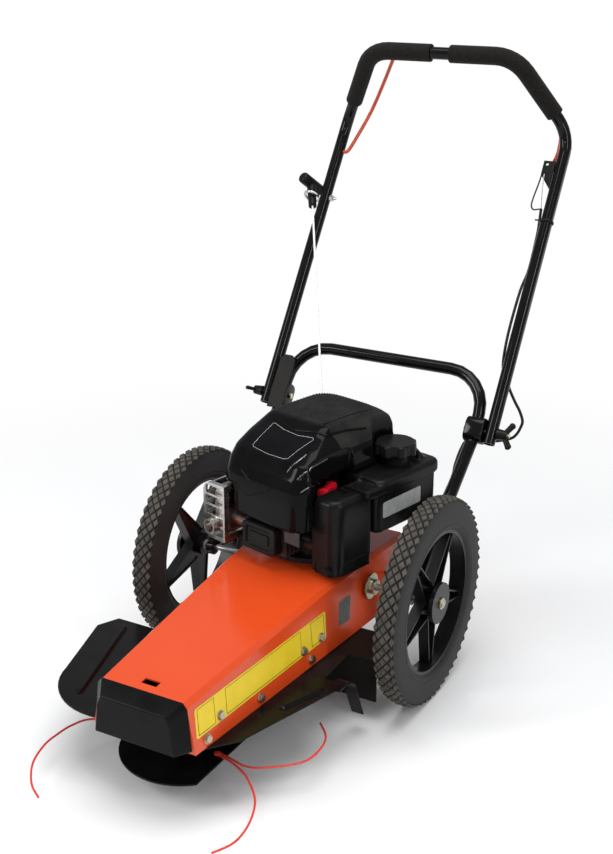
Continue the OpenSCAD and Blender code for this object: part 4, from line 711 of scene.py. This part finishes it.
CAP_AT = (120, 97)
cutters = []
for inner, length in ((63, 88), (88, 113)):
    bm = bmesh.new()
    prism(bm, side_pocket(inner), lambda u, w: (u, -6, w), (0, -length, 0))
    cutters.append(bm)
bm = bmesh.new()
box(bm, (64, -10, 60), (260, 260, 178))
cutters.append(bm)
bm = bmesh.new()
drum(bm, (*CAP_AT, 174), 47, 140)
cutters.append(bm)
bm = bmesh.new()
box(bm, (-260, -300, 60), (-66, -82, 151))
cutters.append(bm)
tools = [loose_object(cutter, "pocket_" + str(i)) for i, cutter in enumerate(cutters)]
hood_skin = moulded(dome, 2.9, 6, tools)
hood_mesh = bpy.data.meshes.new("hood_skin")
hood_skin.to_mesh(hood_mesh)
hood_skin.free()
print("hood after pockets", len(hood_mesh.polygons), "faces")

# %% [markdown]
# The hood's top rear is a separate grille moulding. One cut of the dome gives both pieces: the faces behind
# the brow and above the shoulder go to the grille, the rest to the hood. Both are open sheets that a
# Solidify turns into walls.

# %% Hood and grille sheets
GRILLE_FRONT, GRILLE_LOW = -28.0, 226.0
HOOD_LOW = 95.0
WALL = 3 * MM


def sheet_part(mesh, in_grille):
    """The dome's faces that lie in the grille, or those that don't, without the flat underside."""
    part = bmesh.new()
    part.from_mesh(mesh)
    for place, normal in (((0, GRILLE_FRONT, 0), (0, 1, 0)), ((0, 0, GRILLE_LOW), (0, 0, 1))):
        bmesh.ops.bisect_plane(part, geom=part.verts[:] + part.edges[:] + part.faces[:], dist=1e-7,
                               plane_co=Vector(place) * MM, plane_no=normal)
    bmesh.ops.bisect_plane(part, geom=part.verts[:] + part.edges[:] + part.faces[:], dist=1e-7,
                           plane_co=(0, 0, HOOD_LOW * MM), plane_no=(0, 0, 1), clear_inner=True)
    gone = []
    for face in part.faces:
        _, v, w = face.calc_center_median() / MM
        if (v > GRILLE_FRONT and w > GRILLE_LOW) != in_grille:
            gone.append(face)
    bmesh.ops.delete(part, geom=gone, context="FACES")
    return part


def keep_sheet(part, name, finish, replaced):
    """Keeps a sheet and gives it the moulding's wall, on its inner side."""
    piece = keep(part, name, [finish], "chassis", ENGINE, replaced, 32)
    wall = piece.modifiers.new("wall", "SOLIDIFY")
    wall.thickness = WALL
    wall.offset = -1
    wall.use_even_offset = False


grille_part = sheet_part(hood_mesh, True)
surface = BVHTree.FromBMesh(grille_part)
hood_part = sheet_part(hood_mesh, False)
hood_surface = BVHTree.FromBMesh(hood_part)
keep_sheet(hood_part, "hood_shell", HOOD_BLACK, ["hood"])

# %% [markdown]
# The grille carries rows of small raised lozenges. Each is dropped on the sheet from above, so the rows
# follow its curve. They are few faces each, because there are hundreds.

# %% Grille lozenges
LOZENGE = (2.3, 4.0, 1.3)
PITCH_U, PITCH_V = 6.0, 9.0
FIRST_U, FIRST_V, LAST_U, LAST_V = -86, -22, 66, 118
count = 0
for row in range(34):
    v = FIRST_V + row * PITCH_V / 2
    for column in range(26):
        u = FIRST_U + column * PITCH_U + (PITCH_U / 2 if row % 2 else 0)
        hit, normal, _, _ = surface.ray_cast(Vector((u, v, 300)) * MM, Vector((0, 0, -1)))
        if hit is None or normal.z < 0.8 or u > LAST_U or v > LAST_V:
            continue
        verts = bmesh.ops.create_circle(grille_part, cap_ends=True, radius=1, segments=4)["verts"]
        bmesh.ops.scale(grille_part, vec=(LOZENGE[0] * MM, LOZENGE[1] * MM, 1), verts=verts)
        ridge = extruded(grille_part, [verts[0].link_faces[0]])
        bmesh.ops.scale(grille_part, vec=(0.35, 0.6, 1), verts=ridge)
        bmesh.ops.translate(grille_part, vec=(0, 0, LOZENGE[2] * MM), verts=ridge)
        turn = normal.to_track_quat("Z", "Y").to_matrix().to_4x4()
        bmesh.ops.transform(grille_part, matrix=Matrix.Translation(hit) @ turn, verts=verts + ridge)
        count += 1
print("lozenges", count)
keep_sheet(grille_part, "hood_grille_sheet", GRILLE_BLACK, ["hood_grille"])

# %% [markdown]
# Moulded ridges run over the hood's right flank, chevrons over its front, and a thin pale frame lies where
# the real hood has a badge, left bare here. Each is a thin round bar pressed on to the dome. Its points are
# picked in the picture, and a ray from the camera finds where they lie on the dome.


# %% Hood ridges
def on_dome(px, py):
    """The place on the dome, in the engine's frame, that shows at a point of the picture."""
    away = Vector(((px - PICTURE_WIDE / 2) / FOCAL_PIXELS, (PICTURE_HIGH / 2 - py) / FOCAL_PIXELS, -1))
    away = camera.rotation_euler.to_matrix() @ away
    home = ENGINE.inverted()
    hits = [t.ray_cast(home @ camera.location, (home.to_3x3() @ away).normalized()) for t in (hood_surface, surface)]
    near = [h for h in hits if h[0] is not None]
    return min(near, key=lambda h: h[3])[0]


def ridge_on(name, points, radius, finish):
    ends = [on_dome(*p) for p in points]
    route = []
    for a, b in zip(ends, ends[1:]):
        for k in range(8):
            middle = a.lerp(b, k / 8)
            near = min((t.find_nearest(middle) for t in (hood_surface, surface)), key=lambda h: h[3])[0]
            route.append(ENGINE @ near)
    route.append(ENGINE @ ends[-1])
    piece = round_tube(name, route, radius * MM, finish)
    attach(piece, "chassis")


HOOD_RIDGES = {
    "hood_fin_front": (1.6, [(287, 472.5), (296, 463), (306.5, 455)]),
    "hood_fin_middle": (2.0, [(297, 480), (311, 468), (327, 459)]),
    "hood_fin_low": (1.5, [(300, 493), (309, 487.5), (319, 483.5)]),
    "hood_chevron_high": (1.1, [(241, 469), (250.5, 482), (268, 478), (277, 471)]),
    "hood_chevron_low": (1.1, [(237, 484), (248, 495.5), (266, 492), (271, 488)]),
    "grille_ridge": (2.0, [(324, 424.5), (350, 415), (372, 409.5)]),
    "grille_brow": (2.3, [(276, 418.5), (293.5, 430.5), (325, 435.7), (346, 430.5), (366, 428)]),
}
for name, (radius, points) in HOOD_RIDGES.items():
    ridge_on(name, points, radius, FIN_GLOSS if "fin" in name else HOOD_BLACK)
badge = [
    (275, 423), (284, 429.5), (298, 435.5), (313, 438), (313.5, 440), (288, 458.5), (284, 459), (268, 454),
    (253.5, 446.5), (253, 444.5), (273, 423.5), (275, 423)]
ridge_on("badge_frame", badge, 0.45, PALE_PLATE)
print("ridges", len(HOOD_RIDGES) + 1)

# %% [markdown]
# The fuel tank is two moulded halves: a deep lower one and a wider upper one with a lip, which overhangs the
# filter. The seam between them is the shadow line that the photograph shows.

# %% Fuel tank
bm = bmesh.new()
lower = box(bm, (70, -6, 66), (166, 172, 147))
round_edges(bm, edges_where(lower, lambda a, b: abs(a.z - b.z) > 50), 16)
round_edges(bm, edges_at(bm, 66), 8, 3)
box(bm, (60.2, 60, 68), (76, 108, 92))
box(bm, (74, 0, 140), (160, 166, 156))
tank_low = keep(bm, "fuel_tank_lower", [SATIN_BLACK], "chassis", ENGINE, ["fuel_tank"])
soften(tank_low, 1.0)
bm = bmesh.new()
upper = box(bm, (68, -6, 149.5), (172, 179, 174))
round_edges(bm, edges_where(upper, lambda a, b: abs(a.z - b.z) > 5), 22, 5)
round_edges(bm, edges_at(bm, 174), 9, 4)
tab = box(bm, (112, -40, 149.5), (171, 14, 166))
round_edges(bm, edges_where(tab, lambda a, b: abs(a.z - b.z) > 5 and a.y < -20 and b.y < -20), 9, 3)
hill = box(bm, (112, 60, 150), (164, 172, 197))
for vert in hill:
    if vert.co.z > 170 * MM:
        vert.co.x = min(vert.co.x, 136 * MM)
        vert.co.y = min(max(vert.co.y, 92 * MM), 146 * MM)
round_edges(bm, edges_where(hill, lambda a, b: a.z > 170 or b.z > 170), 9, 4)
well = bmesh.new()
drum(well, (*CAP_AT, 173.6), 46.8, 60)
box(well, (118, -60, 164.5), (160, -2, 190))
shell = moulded(loose_object(bm, "tank_shell"), 2.2, 4, [loose_object(well, "tank_well")])
drum(shell, (*CAP_AT, 170), 28, 19)
keep(shell, "fuel_tank_upper", [SATIN_BLACK], "chassis", ENGINE, ["fuel_tank"])

# %% [markdown]
# The fuel cap is a moulded drum with lobes for the fingers. Small cones stand round a drum, and one skin is
# drawn over all of them.

# %% Fuel cap
LOBES = 8
bm = bmesh.new()
drum(bm, (*CAP_AT, 197), 37.5, 21)
for i in range(LOBES):
    turn = 2 * math.pi * (i + 0.3) / LOBES
    drum(bm, (CAP_AT[0] + 33 * math.cos(turn), CAP_AT[1] + 33 * math.sin(turn), 195), 10.2, 21, 8.6, 24)
drum(bm, (*CAP_AT, 190.5), 35, 10)
cap = moulded(loose_object(bm, "cap_form"), 1.6, 4)
drum(cap, (*CAP_AT, 190.6), 31, 2)
keep(cap, "fuel_cap_lobes", [SATIN_BLACK], "fuel_cap", ENGINE, ["fuel_cap"])

# %% [markdown]
# The air filter's cover is a box with one big rounded edge towards the front, a sunk panel on its outer
# face and a stepped foot. Insets and a cut make them in the same skin.

# %% Filter cover
bm = bmesh.new()
box(bm, (105.3, -115, 10), (158, -13, 160))
bmesh.ops.bisect_plane(bm, geom=bm.verts[:] + bm.edges[:] + bm.faces[:], dist=1e-7, plane_co=(0, 0, 30 * MM),
                       plane_no=(0, 0, 1))
outer_front = [e for e in bm.edges if all(v.co.x > 157 * MM and v.co.y < -114 * MM for v in e.verts)]
round_edges(bm, outer_front, 25, 7)
outer_rear = [e for e in bm.edges if all(v.co.x > 157 * MM and v.co.y > -14 * MM for v in e.verts)]
round_edges(bm, outer_rear, 6, 3)
crown_edges = [e for e in bm.edges if all(v.co.z > 159 * MM for v in e.verts) and any(
    v.co.x > 110 * MM for v in e.verts)]
round_edges(bm, crown_edges, 13, 5)
walls = [f for f in bm.faces if f.normal.x > 0.99 and f.calc_center_median().z > 40 * MM]
side = max(walls, key=lambda f: f.calc_area())
bmesh.ops.inset_region(bm, faces=[side], thickness=5 * MM, depth=0)
bmesh.ops.inset_region(bm, faces=[side], thickness=1.5 * MM, depth=-1.6 * MM)
foot = [f for f in bm.faces if f.calc_center_median().z < 30 * MM and abs(f.normal.z) < 0.1 and f.normal.x > -0.5]
bmesh.ops.inset_region(bm, faces=foot, thickness=0.6 * MM, depth=-1.8 * MM)
lying_drum(bm, "X", (138, -118, 20), 8, 10, 7, back=5, segments=24)
for slot_v in (-58, -42):
    box(bm, (110, slot_v, 157), (130, slot_v + 7, 162.5))
filter_piece = keep(bm, "filter_cover_shell", [SATIN_BLACK], "filter_cover", ENGINE, ["filter_cover"])
soften(filter_piece, 1.2)

# %% [markdown]
# The rocker cover on the cylinder's front is a small pressed box with a framed face: a recess is cut into a
# rounded block, and one skin softens its edges. The dull plate beside it is left bare.

# %% Rocker cover and front plate
bm = bmesh.new()
cover = box(bm, (-43, -160, 31), (43, -138.1, 87.8))
round_edges(bm, edges_where(cover, lambda a, b: abs(a.y - b.y) > 5), 10)
recess = bmesh.new()
hollow = box(recess, (-33, -170, 40), (33, -156, 79))
round_edges(recess, edges_where(hollow, lambda a, b: abs(a.y - b.y) > 5), 6)
pressed = moulded(loose_object(bm, "rocker_form"), 1.6, 4, [loose_object(recess, "rocker_recess")])
box(pressed, (-24, -158, 50), (24, -150, 69))
keep(pressed, "rocker_cover_frame", [SATIN_BLACK], "chassis", ENGINE, ["rocker_cover"])
bm = bmesh.new()
box(bm, (62, -152, 70), (100, -150, 97))
plate = keep(bm, "engine_front_plate", [DULL_PLATE], "chassis", ENGINE)
soften(plate, 0.5)

# %% [markdown]
# The muffler sits in a pressed cage. Its walls are a rounded box with a hollow cut out, open to the rear, and
# windows cut through its walls leave the narrow bars. The muffler inside is a rounded box with a stub at its
# side and an open pipe that shows through a round hole in the cage.


# %% Muffler cage
def along_cage(left):
    """Picks the cage's long edges on its left side."""
    return lambda a, b: abs(a.y - b.y) > 50 and a.x < left


CAGE_PITCH, CAGE_WINDOW = 21, 17
PIPE_SIDES = 40
bm = bmesh.new()
round_edges(bm, edges_where(box(bm, (-132, -176, 31), (-74, -90, 147)), along_cage(-131)), 20, 6)
hollow = bmesh.new()
round_edges(hollow, edges_where(box(hollow, (-130, -174, 33), (-76, -80, 145)), along_cage(-129)), 18, 6)
windows = bmesh.new()
for i in range(5):
    low = 40 + i * CAGE_PITCH
    box(windows, (-125 if i in (0, 4) else -127, -190, low), (-79, -170, low + CAGE_WINDOW))
    box(windows, (-140, -166, low), (-126, -100, low + CAGE_WINDOW - 3))
box(windows, (-112, -166, 140), (-82, -100, 155))
box(windows, (-78, -166, 45), (-70, -100, 133))
pipe_hole = bmesh.new()
lying_drum(pipe_hole, "X", (-105.9, -176, 61), 15.2, 20, back=10, segments=PIPE_SIDES)
cage_form = loose_object(bm, "cage_form")
cage_tools = [loose_object(hollow, "cage_hollow"), loose_object(windows, "cage_windows"),
              loose_object(pipe_hole, "cage_pipe_hole")]
add_cuts(cage_form, cage_tools)
cage = made_of(cage_form, cage_tools)

# %% Muffler body
body = bmesh.new()
round_edges(body, edges_where(box(body, (-113, -167, 42), (-80, -97, 138)), lambda a, b: True), 9, 4)
lying_drum(body, "Y", (-92, -118, 60), 13.9, 40, segments=32)
lying_drum(body, "X", (-105.9, -158, 61), 14.4, 30, segments=PIPE_SIDES)
mouth = min((f for f in body.faces if len(f.verts) == PIPE_SIDES), key=lambda f: f.calc_center_median().y)
bmesh.ops.inset_region(body, faces=[mouth], thickness=2 * MM, depth=0)
bmesh.ops.inset_region(body, faces=[mouth], thickness=0.2 * MM, depth=-22 * MM)
keep(body, "muffler_body", [HEAT_STEEL], "chassis", ENGINE, ["muffler"], 30)
cage_piece = keep(cage, "muffler_cage", [SILVER], "chassis", ENGINE, ["muffler_guard"], 30)
soften(cage_piece, 0.5)

# %% [markdown]
# The dipstick's red handle is a soft bow-tie. A block is divided along its length, its middle is squeezed,
# and one more round of cuts with smoothing makes it soft.

# %% Dipstick handle
HANDLE_HALF = 23
DIPSTICK_AT = (84, -58)
bm = bmesh.new()
handle = box(bm, (-9, -HANDLE_HALF, -9), (9, HANDLE_HALF, 9))
bmesh.ops.subdivide_edges(bm, edges=edges_where(handle, lambda a, b: abs(a.y - b.y) > 10), cuts=4, use_grid_fill=True)
for vert in bm.verts:
    share = abs(vert.co.y) / (HANDLE_HALF * MM)
    vert.co.x *= 0.6 + 0.4 * share
    vert.co.z *= 0.85 + 0.15 * share
bmesh.ops.subdivide_edges(bm, edges=bm.edges[:], cuts=1, use_grid_fill=True, smooth=0.4)
turn_about(bm, bm.verts[:], math.radians(20), "Z")
bmesh.ops.translate(bm, vec=Vector((*DIPSTICK_AT, 150.9)) * MM, verts=bm.verts[:])
drum(bm, (*DIPSTICK_AT, 20), 4, 126, segments=24)
drum(bm, (*DIPSTICK_AT, 136.4), 8, 8, segments=24)
keep(bm, "dipstick_handle", [KNOB_RED], "dipstick", ENGINE, ["dipstick"], 50)

# %% [markdown]
# Two clamps hold the fold bolts. Each is a short cast block with a round back and front, so its long edges
# are rounded wide.

# %% Fold clamps
ARM_SLOPE = math.radians(56.4)
FOLD = (0, 288, 446)
ARM = AXLE @ Matrix.Translation(Vector(FOLD) * MM) @ Matrix.Rotation(ARM_SLOPE - math.pi / 2, 4, "X")
bm = bmesh.new()
for side in (-1, 1):
    old = set(bm.verts)
    block = box(bm, (min(side * 207, side * 247), -20, -26), (max(side * 207, side * 247), 20, 26))
    round_edges(bm, edges_where(block, lambda a, b: abs(a.x - b.x) > 20), 15, 6)
    fresh = [v for v in bm.verts if v not in old]
    ends = edges_where(fresh, lambda a, b: abs(a.x - b.x) < 0.1)
    round_edges(bm, ends, 3, 3)
keep(bm, "fold_clamps", [TUBE_BLACK], "chassis", ARM, ["clamp_blocks"])

# %% [markdown]
# A moulded knob with two leaning wings turns each fold bolt. A cone makes the hub, and a tapered drum with a
# ball on its tip makes each wing. The left knob is the mirror image, turned another way.


# %% Winged knobs
def wing_knob(name, side, turn, body, node):
    """A knob on the fold bolt with two round-tipped wings that lean outwards."""
    made = bmesh.new()
    drum(made, (0, 0, 273.2), 11.5, 21, 9.5, 28)
    for lean in (-1, 1):
        wing = drum(made, (0, 0, 0), 4.6, 26, 5.2, 16)
        tip = bmesh.ops.create_uvsphere(made, u_segments=16, v_segments=10, radius=5.6 * MM)["verts"]
        bmesh.ops.translate(made, vec=(0, 0, 26 * MM), verts=tip)
        bmesh.ops.scale(made, vec=(0.8, 1.25, 1), verts=wing + tip)
        turn_about(made, wing + tip, -lean * math.radians(56), "X")
        bmesh.ops.translate(made, vec=(0, 0, 286 * MM), verts=wing + tip)
    turn_about(made, made.verts[:], math.radians(90), "Y")
    turn_about(made, made.verts[:], math.radians(turn + 90), "X")
    if side < 0:
        bmesh.ops.mirror(made, geom=made.verts[:] + made.edges[:] + made.faces[:], axis="X", merge_dist=-1)
        bmesh.ops.delete(made, geom=[v for v in made.verts if v.co.x > 0], context="VERTS")
    base = AXLE @ Matrix.Translation(Vector(FOLD) * MM)
    keep(made, name, [SATIN_BLACK], body, base, [node], 40)


wing_knob("right_knob_wings", 1, -30, "right_knob", "right_knob")
wing_knob("left_knob_wings", -1, 65, "left_knob", "left_knob")

# %% [markdown]
# A thin tie holds the cable to the arm: an oval section spun round the tube, with a short tail. A small knot of
# line, a flattened ball, holds the cutter head's two right lines.

# %% Cable tie and line knot
TIE_UP = 457
bm = bmesh.new()
wrap = bmesh.ops.create_circle(bm, radius=1, segments=12)["verts"]
bmesh.ops.scale(bm, vec=(1.1 * MM, 1, 1), verts=wrap)
bmesh.ops.scale(bm, vec=(1, 2.4 * MM, 1), verts=wrap)
turn_about(bm, wrap, math.radians(90), "X")
bmesh.ops.translate(bm, vec=(14.1 * MM, 0, 0), verts=wrap)
bmesh.ops.spin(bm, geom=bm.verts[:] + bm.edges[:], cent=(0, 0, 0), axis=(0, 0, 1), angle=2 * math.pi, steps=40,
               use_merge=True)
box(bm, (-23, -9, -1.3), (-12, -6.4, 1.3))
bmesh.ops.translate(bm, vec=Vector((260, 0, TIE_UP)) * MM, verts=bm.verts[:])
keep(bm, "cable_tie", [SATIN_BLACK], "upper_handle", ARM)
bm = bmesh.new()
knot = bmesh.ops.create_uvsphere(bm, u_segments=20, v_segments=12, radius=1)["verts"]
bmesh.ops.scale(bm, vec=(7 * MM, 7 * MM, 3.2 * MM), verts=knot)
bmesh.ops.translate(bm, vec=Vector((66, -437, 55.2)) * MM, verts=knot)
keep(bm, "line_knot", [LINE_RED], "cutter_head", AXLE, ["right_line"], 60)

# %% [markdown]
# The housing's right wall carries a long yellow strip and a small grey plate, both left bare here. The
# tank's side carries a pale one. Each is a thin plate laid flat on its wall, and three fine lines frame the
# strip's panels.


# %% Bare plates
PLATE_THICK = 0.35
NOSE_WIDE, REAR_WIDE, HOUSING_LONG = 206, 292, 556
WALL_FOOT, WALL_LEAN = 133, math.radians(10)


def wall_plate(name, corners, base, finish):
    """A thin plate through four corners in millimetres of a work frame, raised along its own normal."""
    sheet = bmesh.new()
    face = sheet.faces.new([sheet.verts.new(Vector(c) * MM) for c in corners])
    sheet.normal_update()
    normal = face.normal.copy()
    bmesh.ops.bevel(sheet, geom=sheet.verts[:], offset=4 * MM, offset_type="OFFSET", affect="VERTICES", segments=3,
                    profile=0.5, material=-1)
    bmesh.ops.translate(sheet, vec=normal * PLATE_THICK * MM, verts=extruded(sheet, sheet.faces[:]))
    keep(sheet, name, [finish], "chassis", base)


def on_wall(y, z):
    """A point on the housing's right wall, just clear of the paint."""
    half = (NOSE_WIDE + (REAR_WIDE - NOSE_WIDE) * (y + HOUSING_LONG) / HOUSING_LONG) / 2
    return (half - (z - WALL_FOOT) * math.tan(WALL_LEAN) + 0.02, y, z)


wall_plate("yellow_wall_strip", [on_wall(-547, 157), on_wall(-160, 163), on_wall(-150, 213), on_wall(-540, 207)],
           AXLE, YELLOW)
for i, (y0, y1) in enumerate(((-540, -496), (-464, -240), (-206, -164))):
    low0, low1, rise = 161 + (y0 + 547) / 65, 161 + (y1 + 547) / 65, 43
    corners = [(y0, low0), (y1, low1), (y1 + 6, low1 + rise), (y0 + 6, low0 + rise), (y0, low0)]
    route = [spot((x + PLATE_THICK, y, z)) for x, y, z in (on_wall(*corner) for corner in corners)]
    border = round_tube("panel_line_" + str(i), route, 0.5 * MM, WARM_BLACK)
    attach(border, "chassis")
    print(border.name, len(border.data.polygons), "faces")
wall_plate("grey_wall_plate", [on_wall(-116, 167), on_wall(-77, 165), on_wall(-63, 210), on_wall(-103, 211)],
           AXLE, GREY_PLATE)
wall_plate("tank_side_plate", [(166.02, 8, 97), (166.02, 120, 98), (166.02, 120, 131), (166.02, 8, 129)],
           ENGINE, PALE_PLATE)

# %% [markdown]
# A plain pale floor and soft studio light: a broad lamp overhead, one to the left of the camera and a weaker
# one to the right, with a narrow strip for crisp lines on the gloss and a quiet world between them. Near the
# machine the floor takes its shadow. Farther out it fades into a white that only camera, mirror and glass
# rays see, so the backdrop is white and no light is added to the machine.


# %% Floor
def combined(tree, operation, first, second):
    """A Math node on two outputs; returns its value."""
    node = tree.nodes.new("ShaderNodeMath")
    node.operation = operation
    tree.links.new(first, node.inputs[0])
    tree.links.new(second, node.inputs[1])
    return node.outputs["Value"]


bm = bmesh.new()
bmesh.ops.create_grid(bm, x_segments=1, y_segments=1, size=60)
floor = loose_object(bm, "studio_floor")
floor.location.z = -0.0005
floor_finish = make_finish("studio_floor", (0.86, 0.86, 0.86), (0.88, 0.88, 0.88), 0.7, 0.03, cloud=0.6, fine=40,
                           bump=0.02)
tree = floor_finish.node_tree
coords = tree.nodes.new("ShaderNodeTexCoord")
far = tree.nodes.new("ShaderNodeVectorMath")
far.operation = "LENGTH"
tree.links.new(coords.outputs["Object"], far.inputs[0])
fade = tree.nodes.new("ShaderNodeMapRange")
fade.interpolation_type = "SMOOTHSTEP"
fade.inputs["From Min"].default_value = 0.75
fade.inputs["From Max"].default_value = 1.9
tree.links.new(far.outputs["Value"], fade.inputs["Value"])
rays = tree.nodes.new("ShaderNodeLightPath")
seen = combined(tree, "MAXIMUM", rays.outputs["Is Camera Ray"], rays.outputs["Is Glossy Ray"])
seen = combined(tree, "MAXIMUM", seen, rays.outputs["Is Transmission Ray"])
share = combined(tree, "MULTIPLY", fade.outputs["Result"], seen)
white = tree.nodes.new("ShaderNodeEmission")
white.inputs["Strength"].default_value = 1.0
mixed = tree.nodes.new("ShaderNodeMixShader")
tree.links.new(share, mixed.inputs["Fac"])
tree.links.new(tree.nodes["Principled BSDF"].outputs["BSDF"], mixed.inputs[1])
tree.links.new(white.outputs["Emission"], mixed.inputs[2])
tree.links.new(mixed.outputs["Shader"], tree.nodes["Material Output"].inputs["Surface"])
floor.data.materials.append(floor_finish)
floor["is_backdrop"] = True
print("floor", len(floor.data.polygons), "face")


# %% Lights
def lamp(name, place, target, size, power):
    data = bpy.data.lights.new(name, "AREA")
    data.shape = "RECTANGLE"
    data.size, data.size_y = size
    data.energy = power
    made = bpy.data.objects.new(name, data)
    scene.collection.objects.link(made)
    made.location = place
    made.rotation_euler = (Vector(target) - Vector(place)).to_track_quat("-Z", "Y").to_euler()


lamp("top_light", (0.2, -0.2, 4.2), (0, 0, 0.4), (3.6, 2.6), 120)
lamp("left_light", (-2.6, -2.8, 2.6), (0, 0, 0.5), (1.0, 2.2), 70)
lamp("right_light", (3.4, -1.2, 2.2), (0, 0, 0.5), (0.3, 2.4), 40)
lamp("strip_light", (0.6, -3.2, 3.0), (0, 0, 0.5), (1.6, 0.12), 10)
world = bpy.data.worlds.new("studio")
world.use_nodes = True
world.node_tree.nodes["Background"].inputs["Color"].default_value = (0.95, 0.97, 1.0, 1)
world.node_tree.nodes["Background"].inputs["Strength"].default_value = 0.42
scene.world = world
scene.view_settings.view_transform = "Standard"

# %% [markdown]
# The dressed machine's visual box is printed at the end.

# %% Finish
low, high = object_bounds()
print("visual box", [round(v, 3) for v in high - low])
